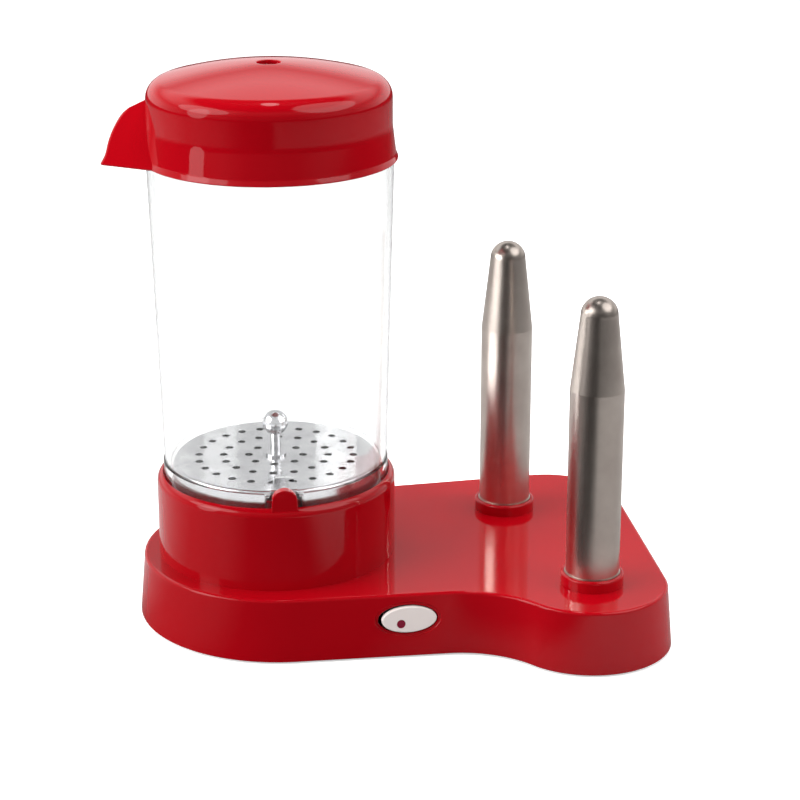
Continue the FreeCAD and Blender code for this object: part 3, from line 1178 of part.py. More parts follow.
for thing in DOC.Objects:
    if {"Invalid", "Error"} & set(thing.State):
        raise RuntimeError("%s failed: %s" % (thing.Label, thing.State))
os.makedirs("parts", exist_ok=True)
for node in NODES:
    shape = node.Shape
    if shape.isNull() or not shape.isValid() or not shape.Solids:
        raise RuntimeError("bad shape: " + node.Label)
for node in NODES:
    node.Shape.exportStep("parts/%s.step" % node.Label)
    print("%-20s %2d solid(s) %10.1f mm3" % (node.Label, len(node.Shape.Solids), node.Shape.Volume))
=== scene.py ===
import json
import math

import bmesh
import bpy
import numpy as np
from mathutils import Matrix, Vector, geometry


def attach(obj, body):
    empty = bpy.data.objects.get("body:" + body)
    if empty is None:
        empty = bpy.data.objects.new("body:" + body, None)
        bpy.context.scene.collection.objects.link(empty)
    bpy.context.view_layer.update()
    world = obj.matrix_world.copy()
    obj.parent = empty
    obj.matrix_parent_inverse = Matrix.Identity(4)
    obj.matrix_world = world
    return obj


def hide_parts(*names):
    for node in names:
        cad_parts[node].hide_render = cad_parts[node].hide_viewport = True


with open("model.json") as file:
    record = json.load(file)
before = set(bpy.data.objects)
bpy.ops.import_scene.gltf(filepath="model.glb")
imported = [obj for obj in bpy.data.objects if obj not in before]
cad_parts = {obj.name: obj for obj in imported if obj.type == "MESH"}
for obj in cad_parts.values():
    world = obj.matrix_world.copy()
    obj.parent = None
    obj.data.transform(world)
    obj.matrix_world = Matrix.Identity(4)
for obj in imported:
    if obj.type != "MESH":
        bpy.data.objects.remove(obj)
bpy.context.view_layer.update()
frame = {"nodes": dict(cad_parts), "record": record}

MM = 0.001
NODES = frame["nodes"]

# ---------------------------------------------------------------- sizes of the toaster, in mm

# Endings of names: _R is a radius, _Z, _TOP and _UNDER are heights, _A is an angle, _S a way along a side,
# _HALF half a width, _W a width, _D a depth, _T a thickness.

# the tower's axis on the plan, and the way up
TOWER = np.array((-55.8, -6.6))
UPRIGHT = np.array((0.0, 0.0, 1.0))

# base moulding
SKIRT_LEAN_A = math.radians(5.0)
SKIRT_Z, PLATE_TOP, PLATE_UNDER = 1.0, 31.0, 28.4
WALL, PLATE_EDGE_R, FOOT_EDGE_R = 2.6, 1.6, 0.4
FRONT_SIDE_A = math.radians(7.5)
# each lobe: its middle from the tower's axis, and its radius at the skirt's foot
LEFT_LOBE, REAR_LOBE, FRONT_LOBE = (2.6, -1.2, 69.2), (135.3, 59.9, 38.0), (147.6, -44.8, 39.4)
WAIST_R = 46.0
# heights between which the side walls hold their holes, outside and inside
HOLES_LOW_Z, HOLES_HIGH_Z, HOLES_HIGH_INSIDE_Z = 7.0, 28.6, 27.5
HOLE_BORDER, HOLE_EDGE_R = 3.0, 0.25
# switch opening in the front side, with a shallow recess round it
SWITCH_X, SWITCH_Z, SWITCH_HALF, RECESS_W, RECESS_D = 63.2, 18.9, (14.0, 6.9), 1.5, 0.5
# cord inlet in the rear side
INLET_S, INLET_Z, INLET_R = 58.0, 14.0, 5.6
# holes for the spikes in the plate, and the sockets under them
SPIKES = {"rear": TOWER + (112.0, 48.8), "front": TOWER + (148.9, -45.7)}
SPIKE_SEAT_Z, SPIKE_HOLE_R, SOCKET_R = 16.5, 14.3, 17.2

# tower, its rim and the ledge for the dish
TOWER_R, TOWER_BORE_R, RIM_BORE_R, LEDGE_BORE_R = 56.9, 54.3, 53.9, 47.6
LEDGE_Z, LEDGE_T, RIM_TOP = 64.0, 3.5, 71.6
RIM_ROUND_R, RIM_EDGE_R, RIM_STRAIGHT = 5.0, 0.5, 1.55
# key tab: the way it faces, its half width and how much it narrows, its heights, and its two faces
TAB_A = math.radians(-82.9)
TAB_HALF, TAB_NARROW, TAB_FOOT, TAB_TOP, TAB_RISE = 6.5, 0.8, 67.2, 80.0, 4.0
TAB_BACK_R, TAB_FRONT_R, TAB_BACK_EDGE_R, TAB_FRONT_EDGE_R = 50.9, 55.6, 0.5, 0.6

# steam chamber, and the notch and throat over the key tab
CHAMBER_FOOT_Z, FOOT_TOP_Z, FOOT_STEP, CHAMBER_TOP_Z = 67.2, 77.4, 0.45, 226.5
CHAMBER_FOOT_R, CHAMBER_BORE_R, CHAMBER_TOP_R = 53.5, 50.2, 57.0
CHAMBER_WALL, CHAMBER_RIM_R, CHAMBER_FOOT_ROUND = 2.6, 0.8, 0.35
NOTCH_HALF, NOTCH_TOP_HALF, NOTCH_TOP_Z = 8.9, 4.0, 85.6
THROAT_HALF, THROAT_Z, THROAT_STEP = 6.95, 76.4, 0.4
# width of the notch's upright sides, and the angle from its middle where the plain wall's columns start
NOTCH_CORNER, NOTCH_SECTOR_A = 0.01, math.radians(16.0)

# lid
LID_LIP_Z, LID_LIP_R, LIP_BORE_R, LIP_BORE_EDGE_R, LIP_EDGE_R = 222.6, 58.9, 57.3, 0.25, 0.45
LID_SEAT_Z = 226.7
LID_FLARE_Z, LID_FLARE_R, LID_FLARE_TOP_Z = 225.4, 57.7, 238.0
FLARE_FOOT_ROUND, FLARE_TOP_ROUND = 3.0, 30.0
LID_WALL_R, LID_BORE_R, LID_SHOULDER_Z, LID_STRAIGHT = 56.2, 53.8, 250.7, 2.0
LID_CROWN_R, LID_CROWN_Z, LID_TOP, LID_WALL = 49.3, 259.4, 266.8, 2.4
VENT_R, VENT_EDGE_R, VENT_LAND = 5.5, 0.4, 0.5
# beak handle
BEAK_TIP_X, BEAK_TIP_HALF, BEAK_LIP_Z, BEAK_FLARE = 75.9, 16.7, 223.4, 5.2
BEAK_BACK_X, BEAK_BACK_Z, BEAK_BACK_R = 44.5, 224.0, 29.5
BEAK_WALL, BEAK_EDGE_R, BEAK_FOOT_ROUND, BEAK_ROOT_DEPTH = 2.2, 1.2, 0.5, 1.6
BEAK_SIDE_A, BEAK_LEAN_A = math.radians(25.4), math.radians(41.9)
# heights of the rows in the beak's foot above the lip, and the most of a side that its edge's round takes
BEAK_FOOT_ROWS, BEAK_EDGE_SHARE = (0.0, 0.12, 0.3, 0.55, 0.8), 0.45

# meshes: the angle from which an edge stays sharp, the distance at which points are one, a length too small
# to matter, and how far a small round's middle lies from its faces, as a share of its radius
SHARP_A = math.radians(38.0)
SAME_POINT, NO_LENGTH, ROUND_MIDDLE = 0.004, 1e-6, 0.3
# points round a circle, and round the chamber's plain wall
COLUMNS_ROUND, SOCKET_COLUMNS, HOLE_COLUMNS, CHAMBER_COLUMNS = 192, 64, 96, 176
# points along the tab's arc and cheeks, and how far up the cheeks go, as a share of their height
TAB_HEAD_POINTS, TAB_CHEEK_POINTS, TAB_CHEEK_SHARE = 25, 12, 0.95
# the beak's rows in its flare and above it, and its points along a side, round an edge and over its end
BEAK_FLARE_ROWS, BEAK_UPPER_ROWS = 10, 48
BEAK_SIDE_POINTS, BEAK_EDGE_POINTS, BEAK_END_POINTS = 14, 9, 14


# ---------------------------------------------------------------- mesh helpers

def mesh_piece(name, points, faces, material, body, node=None):
    """A smooth-shaded mesh of points in mm and faces, riding on a body in place of a CAD node."""
    mesh = bpy.data.meshes.new(name)
    mesh.from_pydata((np.asarray(points, float) * MM).tolist(), [], faces)
    mesh.validate()
    piece = bpy.data.objects.new(name, mesh)
    bpy.context.scene.collection.objects.link(piece)
    return dress(piece, material, body, node)


def dress(piece, material, body, node):
    """Give a finished piece its material, its body and the node it stands for."""
    form = bmesh.new()
    form.from_mesh(piece.data)
    bmesh.ops.remove_doubles(form, verts=form.verts, dist=SAME_POINT * MM)
    bmesh.ops.dissolve_degenerate(form, edges=form.edges, dist=SAME_POINT / 2 * MM)
    bmesh.ops.recalc_face_normals(form, faces=form.faces)
    form.to_mesh(piece.data)
    form.free()
    piece.data.shade_smooth()
    piece.data.set_sharp_from_angle(angle=SHARP_A)
    piece.data.materials.append(material)
    weighted = piece.modifiers.new("weighted_normals", "WEIGHTED_NORMAL")
    weighted.weight = 100
    weighted.keep_sharp = True
    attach(piece, body)
    if node:
        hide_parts(node)
    return piece


# ---------------------------------------------------------------- curves and surfaces, in mm

def rounded(corners, steps=6):
    """The points of a line through corners (x, y, radius). Each corner with a radius becomes an arc that
    touches both sides: its ends lie radius / tan(half the corner's angle) from the corner, and its middle
    radius / sin(half the angle). A corner without one stays a point."""
    path = []
    for number, (x, y, radius) in enumerate(corners):
        here = np.array((x, y), float)
        if radius <= 0:
            path.append(here[None])
            continue
        before = np.array(corners[number - 1][:2], float) - here
        after = np.array(corners[number + 1][:2], float) - here
        before, after = before / np.hypot(*before), after / np.hypot(*after)
        half = math.acos(float(before @ after)) / 2
        middle = here + (before + after) / np.hypot(*(before + after)) * radius / math.sin(half)
        path.append(turned_points(middle, here + before * radius / math.tan(half),
                                  here + after * radius / math.tan(half), steps))
    return np.concatenate(path)


def turned_points(middle, start, end, steps):
    """Points on the arc from start to end about middle, the short way round."""
    spoke, last = start - middle, end - middle
    turn = math.atan2(spoke[0] * last[1] - spoke[1] * last[0], float(spoke @ last))
    angle = np.linspace(0.0, turn, steps + 1)[:, None]
    return middle + np.cos(angle) * spoke + np.sin(angle) * np.array((-spoke[1], spoke[0]))


def tangent_arc(start, heading, end, steps):
    """The arc that leaves start along heading and reaches end: its middle lies square to the heading, where
    start and end are equally far. Gives its points."""
    start, heading, end = (np.array(item, float) for item in (start, heading, end))
    side = np.array((-heading[1], heading[0])) / np.hypot(*heading)
    chord = end - start
    return turned_points(start + side * float(chord @ chord) / (2 * float(side @ chord)), start, end, steps)


def grid_faces(rows, columns, wrap_rows, wrap_columns, gaps):
    """Quads between neighbours of a grid whose points are numbered row by row; gaps are cells left out."""
    row, column = np.meshgrid(np.arange(rows - (not wrap_rows)), np.arange(columns - (not wrap_columns)),
                              indexing="ij")
    keep = np.ones(row.shape, bool)
    for gap in gaps:
        keep[gap] = False
    row, column = row[keep], column[keep]
    above, beside = (row + 1) % rows, (column + 1) % columns
    return np.stack([row * columns + column, row * columns + beside,
                     above * columns + beside, above * columns + column], axis=1)


class Skin:
    """The points and faces of one piece, gathered surface by surface."""

    def __init__(self):
        self.points, self.faces, self.count = [], [], 0

    def grid(self, grid, wrap_rows=False, wrap_columns=False, gaps=()):
        """A surface given as rows of columns of points."""
        faces = grid_faces(*grid.shape[:2], wrap_rows, wrap_columns, gaps) + self.count
        self.faces += faces.tolist()
        self.points.append(grid.reshape(-1, 3))
        self.count += grid.shape[0] * grid.shape[1]

    def flat(self, *loops):
        """A flat face inside the first loop of points, with the other loops as its holes."""
        triangles = geometry.tessellate_polygon([[Vector(point) for point in loop] for loop in loops])
        self.faces += [[self.count + corner for corner in triangle] for triangle in triangles]
        self.points.append(np.concatenate(loops))
        self.count += sum(len(loop) for loop in loops)

    def piece(self, name, material, body, node, slot):
        """One mesh piece of everything gathered."""
        return mesh_piece(name, np.concatenate(self.points), self.faces, material, body, node)


def around(profile, middle=TOWER, columns=COLUMNS_ROUND):
    """A profile of (radius, height) carried round an upright axis: each of its points goes round a circle."""
    profile = np.asarray(profile, float)
    angle = np.linspace(0, 2 * np.pi, columns, endpoint=False)
    radius, height = profile[:, :1], profile[:, 1:]
    return np.stack([middle[0] + radius * np.cos(angle), middle[1] + radius * np.sin(angle),
                     height + 0 * angle], axis=-1)


def direction(angle):
    """The way on the plan at an angle from +X."""
    return np.array((math.cos(angle), math.sin(angle)))


# ---------------------------------------------------------------- base moulding

def lean(height):
    """How far the leaning skirt has come in at a height."""
    return (height - SKIRT_Z) * math.tan(SKIRT_LEAN_A)


def arc_angles(first, last, clockwise=False, step=0.022, fewest=8):
    """Equally spaced angles from first to last, one way round, about a step apart."""
    sweep = (last - first) % (2 * math.pi) - (2 * math.pi if clockwise else 0.0)
    return first + np.linspace(0.0, sweep, max(fewest, int(abs(sweep) / step)) + 1)


def skirt_line():
    """The base's plan at the skirt's foot, counter-clockwise, as points and outward directions: three lobes,
    the straight sides that touch two lobes each, and the waist's hollow that touches the front side and the
    front lobe. A straight side has points only at its ends and beside its hole. Also gives the holes' places:
    the number of the point before each, and its spot and outward angle."""
    left, rear, front = (TOWER + lobe[:2] for lobe in (LEFT_LOBE, REAR_LOBE, FRONT_LOBE))
    left_r, rear_r, front_r = LEFT_LOBE[2], REAR_LOBE[2], FRONT_LOBE[2]

    def side_angle(first, second, drop):
        """Outward angle of the side that touches both lobes, from the drop in radius between them."""
        run = second - first
        return math.atan2(run[1], run[0]) - math.acos(drop / np.hypot(*run))

    right_a = side_angle(front, rear, front_r - rear_r)
    back_a = side_angle(rear, left, rear_r - left_r)
    front_a = FRONT_SIDE_A - math.pi / 2
    square, along = direction(front_a), direction(front_a + math.pi / 2)
    start = left + square * (left_r + WAIST_R)
    waist = start + along * ((front - start) @ along
                             - math.sqrt((front_r + WAIST_R) ** 2 - ((front - start) @ square) ** 2))
    waist_a = math.atan2(*(waist - front)[::-1])
    back_square, back_along = direction(back_a), direction(back_a + math.pi / 2)
    switch_foot = left + square * left_r
    switch_s = (TOWER[0] + SWITCH_X - switch_foot[0] + square[0] * lean(SWITCH_Z)) / along[0]
    switch_spot = switch_foot + along * switch_s
    inlet_spot = left + back_square * left_r - back_along * INLET_S
    half_switch, half_inlet = SWITCH_HALF[0] + RECESS_W + HOLE_BORDER, INLET_R + HOLE_BORDER

    runs = [(left, left_r, arc_angles(back_a, front_a)),
            (switch_spot + np.outer((-half_switch, half_switch), along), front_a),
            (waist, -WAIST_R, arc_angles(front_a, waist_a, clockwise=True)),
            (front, front_r, arc_angles(waist_a, right_a)),
            (rear, rear_r, arc_angles(right_a, back_a)),
            (inlet_spot + np.outer((-half_inlet, half_inlet), back_along), back_a)]
    line, out, places = [], [], []
    for run in runs:
        if len(run) == 2:
            points, angle = run
            places.append((sum(len(item) for item in line), points.mean(axis=0), angle))
            spokes = np.tile(direction(angle), (2, 1))
        else:
            middle, radius, angles = run
            spokes = np.stack([np.cos(angles), np.sin(angles)], axis=1)
            points = middle + spokes * radius
        line.append(points)
        out.append(spokes)
    return np.concatenate(line), np.concatenate(out), places


def skirt_grid(line, out, profile):
    """A wall along the skirt: each profile point (inset, height) moves the whole line inwards and up."""
    inset, height = profile[:, 0, None, None], profile[:, 1, None]
    plan = line[None] - inset * out[None]
    return np.concatenate([plan, np.broadcast_to(height[..., None], plan.shape[:2] + (1,))], axis=-1)


def wall_frame(spot, angle, height):
    """A spot on the leaning wall: its point, and the ways along, up and into the wall."""
    out = direction(angle)
    point = np.array((*(spot - out * lean(height)), height))
    along = np.array((-out[1], out[0], 0.0))
    up = np.array((*(-out * math.sin(SKIRT_LEAN_A)), math.cos(SKIRT_LEAN_A)))
    return point, along, up, np.cross(up, along)


def small_round(radius):
    """The round between two faces, as its two ends and its middle: how far each lies from the one face and
    from the other."""
    return [(radius, 0.0), (ROUND_MIDDLE * radius, ROUND_MIDDLE * radius), (0.0, radius)]


def ovals(frame_at, rings):
    """Rings of an oval hole: half width times cosine along the wall, half height times sine up it, and a
    depth into it."""
    point, along, up, inward = frame_at
    angle = np.linspace(0, 2 * np.pi, HOLE_COLUMNS, endpoint=False)[:, None]
    return np.stack([point + np.cos(angle) * along * half_w + np.sin(angle) * up * half_h + inward * depth
                     for half_w, half_h, depth in rings])


def slab(skin, outline, rings, point, along, up, outward):
    """A flat-faced plate: its outline, moved inwards along its own normals by each ring's inset, at each
    ring's depth, with a flat face at both ends."""
    ahead = np.roll(outline, -1, axis=0) - np.roll(outline, 1, axis=0)
    normal = np.stack([ahead[:, 1], -ahead[:, 0]], axis=1) / np.hypot(ahead[:, 0], ahead[:, 1])[:, None]
    rows = [outline - normal * inset for inset, _ in rings]
    grid = np.stack([point + row[:, :1] * along + row[:, 1:] * up + outward * depth
                     for row, (_, depth) in zip(rows, rings)])
    skin.grid(grid, wrap_columns=True)
    skin.flat(grid[0])
    skin.flat(grid[-1])


def side_walls(skin):
    """The leaning skirt inside and out, with its foot and the plate's round edge, the switch opening in its
    recess and the cord inlet. Gives the top rows, where the plate starts outside and inside."""
    line, out, (switch, inlet) = skirt_line()
    foot = rounded([(WALL, SKIRT_Z, 0), (0.0, SKIRT_Z, FOOT_EDGE_R),
                    (lean(HOLES_LOW_Z), HOLES_LOW_Z, 0)], steps=4)
    shoulder = rounded([(lean(HOLES_HIGH_Z), HOLES_HIGH_Z, 0), (lean(PLATE_TOP), PLATE_TOP, PLATE_EDGE_R),
                        (lean(PLATE_TOP) + 2 * PLATE_EDGE_R, PLATE_TOP, 0)], steps=10)
    outer = np.concatenate([foot, shoulder])
    inner = np.array([(WALL + lean(height), height)
                      for height in (SKIRT_Z, HOLES_LOW_Z, HOLES_HIGH_INSIDE_Z, PLATE_UNDER)])
    outside_row, inside_row = (int(np.argmin(np.abs(wall[:, 1] - HOLES_LOW_Z))) for wall in (outer, inner))
    outside, inside = skirt_grid(line, out, outer), skirt_grid(line, out, inner)
    for wall, row in ((outside, outside_row), (inside, inside_row)):
        skin.grid(wall, wrap_columns=True, gaps=[(row, switch[0]), (row, inlet[0])])

    through = WALL * math.cos(SKIRT_LEAN_A)
    half_w, half_h = SWITCH_HALF
    edge = HOLE_EDGE_R
    recess = [(half_w + RECESS_W + grow, half_h + RECESS_W + grow, depth) for grow, depth in
              small_round(edge) + [(0.0, RECESS_D - edge), (-edge, RECESS_D)]]
    opening = [(half_w + grow, half_h + grow, RECESS_D + depth) for grow, depth in
               [(2 * edge, 0.0)] + small_round(edge)]
    holes = [(switch, SWITCH_Z, recess + opening + [(half_w, half_h, through)]),
             (inlet, INLET_Z, [(INLET_R + edge, INLET_R + edge, 0.0), (INLET_R, INLET_R, edge),
                               (INLET_R, INLET_R, through)])]
    for (column, spot, angle), height, rings in holes:
        tube = ovals(wall_frame(spot, angle, height), rings)
        skin.grid(tube, wrap_columns=True)
        for wall, row, ring in ((outside, outside_row, tube[0]), (inside, inside_row, tube[-1])):
            skin.flat([wall[row, column], wall[row, column + 1], wall[row + 1, column + 1],
                       wall[row + 1, column]], ring)
    return outside[-1], inside[-1]


def tower_wall():
    """The tower from the plate up over its rim's large round, down the bore to the ledge and below it. The
    round's crest stops where it meets the bore."""
    round_z = RIM_TOP - RIM_ROUND_R
    across = TOWER_R - RIM_ROUND_R
    meeting_z = round_z + math.sqrt(RIM_ROUND_R ** 2 - (RIM_BORE_R - across) ** 2)
    crest = turned_points(np.array((across, round_z)), np.array((TOWER_R, round_z)),
                          np.array((RIM_BORE_R, meeting_z)), steps=14)[:-1]
    edge = rounded([(*crest[-1], 0), (RIM_BORE_R, meeting_z, RIM_EDGE_R),
                    (RIM_BORE_R, meeting_z - RIM_STRAIGHT, 0)], steps=5)[1:]
    bore = [(RIM_BORE_R, LEDGE_Z), (LEDGE_BORE_R, LEDGE_Z), (LEDGE_BORE_R, LEDGE_Z - LEDGE_T),
            (TOWER_BORE_R, LEDGE_Z - LEDGE_T), (TOWER_BORE_R, PLATE_UNDER)]
    return around(np.concatenate([[(TOWER_R, PLATE_TOP)], crest, edge, bore]))


def key_tab(skin):
    """Slab that narrows from its foot to its shoulders, under a head that is an arc over its full width."""
    head_half = TAB_HALF - TAB_NARROW
    arch_r = (head_half ** 2 + TAB_RISE ** 2) / (2 * TAB_RISE)
    sweep = math.asin(head_half / arch_r)
    arch = np.linspace(-sweep, sweep, TAB_HEAD_POINTS)
    head = np.stack([arch_r * np.sin(arch), TAB_TOP - arch_r * (1 - np.cos(arch))], axis=1)[::-1]
    share = np.linspace(0.0, TAB_CHEEK_SHARE, TAB_CHEEK_POINTS)
    climb = TAB_FOOT + share * (TAB_TOP - TAB_RISE - TAB_FOOT)
    cheek = TAB_HALF - TAB_NARROW * share
    right, left = (np.stack([side * cheek, climb], axis=1) for side in (1, -1))
    outline = np.concatenate([right, head, left[::-1]])
    back = [(inset, TAB_BACK_R + depth) for inset, depth in small_round(TAB_BACK_EDGE_R)]
    front = [(inset, TAB_FRONT_R - depth) for inset, depth in small_round(TAB_FRONT_EDGE_R)]
    toward = np.array((*direction(TAB_A), 0.0))
    along = np.cross(UPRIGHT, toward)
    slab(skin, outline, back + front[::-1], np.array((*TOWER, 0.0)), along, UPRIGHT, toward)


def make_base():
    """One closed moulding: leaning skirt with its switch opening and cord inlet, plate, tower with a large
    round to its rim, ledge for the dish, key tab and sockets for the spikes."""
    skin = Skin()
    plate_line, under_line = side_walls(skin)
    tower = tower_wall()
    skin.grid(tower, wrap_columns=True)
    sockets = [around([(SPIKE_HOLE_R, PLATE_TOP), (SPIKE_HOLE_R, SPIKE_SEAT_Z), (SOCKET_R, SPIKE_SEAT_Z),
                       (SOCKET_R, PLATE_UNDER)], middle, SOCKET_COLUMNS) for middle in SPIKES.values()]
    for socket in sockets:
        skin.grid(socket, wrap_columns=True)
    skin.flat(plate_line, tower[0], *(socket[0] for socket in sockets))
    skin.flat(under_line, tower[-1], *(socket[-1] for socket in sockets))
    key_tab(skin)
    return skin.piece("base_moulding", FINISHES["red_shell"], "base", "base_shell", "red_shell")


# ---------------------------------------------------------------- lid

def make_lid():
    """Domed cap, closed inside and out round its vent, with the hollow beak that runs into its wall. The
    shoulder is an arc that leaves the wall upright, and the crown an arc that goes on from it to the top."""
    skin = Skin()
    rim = (LID_CROWN_R, LID_CROWN_Z)
    shoulder = tangent_arc((LID_WALL_R, LID_SHOULDER_Z), (0, 1), rim, steps=22)
    crown = tangent_arc(shoulder[-1], shoulder[-1] - shoulder[-2], (0.0, LID_TOP), steps=40)
    crown = crown[crown[:, 0] > VENT_R + VENT_LAND]
    vent_z = crown[-1, 1]
    under_shoulder = tangent_arc((LID_BORE_R, LID_SHOULDER_Z), (0, 1), (rim[0], rim[1] - LID_WALL), steps=22)
    under_crown = crown[1:] - (0.0, LID_WALL)
    wall = rounded([(LIP_BORE_R, LID_SEAT_Z, 0), (LIP_BORE_R, LID_LIP_Z, LIP_BORE_EDGE_R),
                    (LID_LIP_R, LID_LIP_Z, LIP_EDGE_R), (LID_FLARE_R, LID_FLARE_Z, FLARE_FOOT_ROUND),
                    (LID_WALL_R, LID_FLARE_TOP_Z, FLARE_TOP_ROUND),
                    (LID_WALL_R, LID_SHOULDER_Z - LID_STRAIGHT, 0)])[1:]
    vent = rounded([(VENT_R + VENT_LAND, vent_z, 0), (VENT_R, vent_z, VENT_EDGE_R),
                    (VENT_R, vent_z - LID_WALL, VENT_EDGE_R), (VENT_R + VENT_LAND, vent_z - LID_WALL, 0)],
                   steps=4)[1:-1]
    seat = [(LID_BORE_R, LID_SEAT_Z), (LIP_BORE_R, LID_SEAT_Z)]
    profile = np.concatenate([wall, shoulder, crown[1:], vent, under_crown[::-1], under_shoulder[::-1], seat])
    skin.grid(around(profile), wrap_rows=True, wrap_columns=True)
    beak(skin)
    return skin.piece("lid_moulding", FINISHES["red_shell"], "lid", "lid_shell", "red_shell")


def beak_end(height, inset):
    """Distance of the beak's end from the lid's axis: an upright edge, a hollow flare whose fall eases as the
    square of its share, then one large round."""
    arch_r = BEAK_BACK_R - inset
    flare_top = BEAK_LIP_Z + BEAK_FLARE
    drop_z = flare_top - BEAK_BACK_Z
    arch = BEAK_BACK_X + np.sqrt(np.maximum(arch_r ** 2 - (height - BEAK_BACK_Z) ** 2, 0.0))
    arch_foot = math.sqrt(arch_r ** 2 - drop_z ** 2)
    tip, fall = BEAK_TIP_X - inset, BEAK_BACK_X + arch_foot - BEAK_TIP_X + inset
    leaving = -BEAK_FLARE * drop_z / arch_foot
    share = np.clip((height - BEAK_LIP_Z) / BEAK_FLARE, 0.0, 1.0)
    flare = tip + (2 * fall - leaving) * share + (leaving - fall) * share ** 2
    return np.where(height < flare_top, flare, arch)


def beak_skin(inset, foot_round):
    """One skin of the beak: rows of height, each a section from root to root through side, corner, end,
    corner and side. A side is a plane turned outwards from the tip and leaning inwards; where both sides meet
    before the end, the section stops at their ridge. A corner is a quadratic curve of the edge's round, and
    every root lies on a circle inside the dome's wall."""
    slope, rise = math.tan(BEAK_SIDE_A), math.tan(BEAK_LEAN_A) / math.cos(BEAK_SIDE_A)
    tip, hidden_r = BEAK_TIP_X - inset, LID_WALL_R - BEAK_ROOT_DEPTH
    tip_half = BEAK_TIP_HALF + inset * slope - inset / math.cos(BEAK_SIDE_A) / math.cos(BEAK_LEAN_A)
    top = BEAK_LIP_Z + (tip_half + (tip - hidden_r) * slope) / rise
    flare_top = BEAK_LIP_Z + BEAK_FLARE
    height = np.concatenate([LID_LIP_Z + np.array(BEAK_FOOT_ROWS),
                             np.linspace(BEAK_LIP_Z, flare_top, BEAK_FLARE_ROWS)[1:],
                             np.linspace(flare_top, top, BEAK_UPPER_ROWS)[1:]])[:, None]
    climb = np.maximum(height - BEAK_LIP_Z, 0.0) * rise
    reach = np.minimum(beak_end(height, inset), tip + (tip_half - climb) / slope)
    half = np.maximum(tip_half + (tip - reach) * slope - climb, 0.0)
    share = np.clip((height - LID_LIP_Z) / max(foot_round, NO_LENGTH), 0.0, 1.0)
    shrink = foot_round * (1 - np.sqrt(share * (2 - share)))
    reach, half = reach - shrink, np.maximum(half - shrink, 0.0)

    base = half + reach * slope
    a, b, c = 1 + slope ** 2, base * slope, base ** 2 - hidden_r ** 2
    root = np.minimum((b + np.sqrt(np.maximum(b * b - a * c, 0.0))) / a, reach)
    root_half = base - root * slope
    edge_r = np.minimum(BEAK_EDGE_R, BEAK_EDGE_SHARE * np.hypot(reach - root, root_half - half)) + NO_LENGTH
    ridge = np.clip(1 - half / edge_r, 0.0, 1.0)[..., None]

    def spot(x, y):
        """Points on the plan from their x and y."""
        return np.stack([x, y], axis=-1)

    root = spot(root, root_half)
    near = spot(reach - edge_r * math.cos(BEAK_SIDE_A), half + edge_r * math.sin(BEAK_SIDE_A))
    apex = spot(reach, 0 * reach)
    corner = spot(reach, half) * (1 - ridge) + (near + apex) / 2 * ridge
    far = spot(reach, np.maximum(half - edge_r, 0.0)) * (1 - ridge) + (near + apex) / 2 * (1, 0) * ridge
    side, turn, across = (np.linspace(0, 1, count)[None, :, None]
                          for count in (BEAK_SIDE_POINTS, BEAK_EDGE_POINTS, BEAK_END_POINTS))
    section = np.concatenate([
        root + (near - root) * side,
        ((1 - turn) ** 2 * near + 2 * turn * (1 - turn) * corner + turn ** 2 * far)[:, 1:],
        (far * (1, 0) + far * (0, 1) * (1 - across))[:, 1:]], axis=1)
    section = np.concatenate([section, section[:, -2::-1] * (1, -1)], axis=1)
    return np.stack([TOWER[0] - section[..., 0], TOWER[1] + section[..., 1],
                     np.broadcast_to(height, section.shape[:2])], axis=-1)


def beak(skin):
    """Outer and inner skin of the beak, joined round their edges into one closed wall."""
    outer, inner = beak_skin(0.0, BEAK_FOOT_ROUND), beak_skin(BEAK_WALL, 0.0)
    skin.grid(outer)
    skin.grid(inner)
    for edge in (slice(None), 0), (slice(None), -1), (0, slice(None)), (-1, slice(None)):
        skin.grid(np.stack([outer[edge], inner[edge]]))


# ---------------------------------------------------------------- steam chamber

def notch_edge():
    """The notch's lower edge over the key tab, as distances across and heights: flat at its top, then sloping
    down to the throat, a step down beside it, and down to the foot beside the notch."""
    across = np.array([0.0, 1.5, 3.0, NOTCH_TOP_HALF, NOTCH_TOP_HALF + 1.2, THROAT_HALF - 1.0, THROAT_HALF,
                       THROAT_HALF + NOTCH_CORNER, NOTCH_HALF, NOTCH_HALF + NOTCH_CORNER, 10.4, 12.0])
    edge = np.interp(across, [0, NOTCH_TOP_HALF, THROAT_HALF], [NOTCH_TOP_Z, NOTCH_TOP_Z, THROAT_Z])
    edge[across > THROAT_HALF] = THROAT_Z - THROAT_STEP
    edge[across > NOTCH_HALF] = CHAMBER_FOOT_Z
    return across, edge


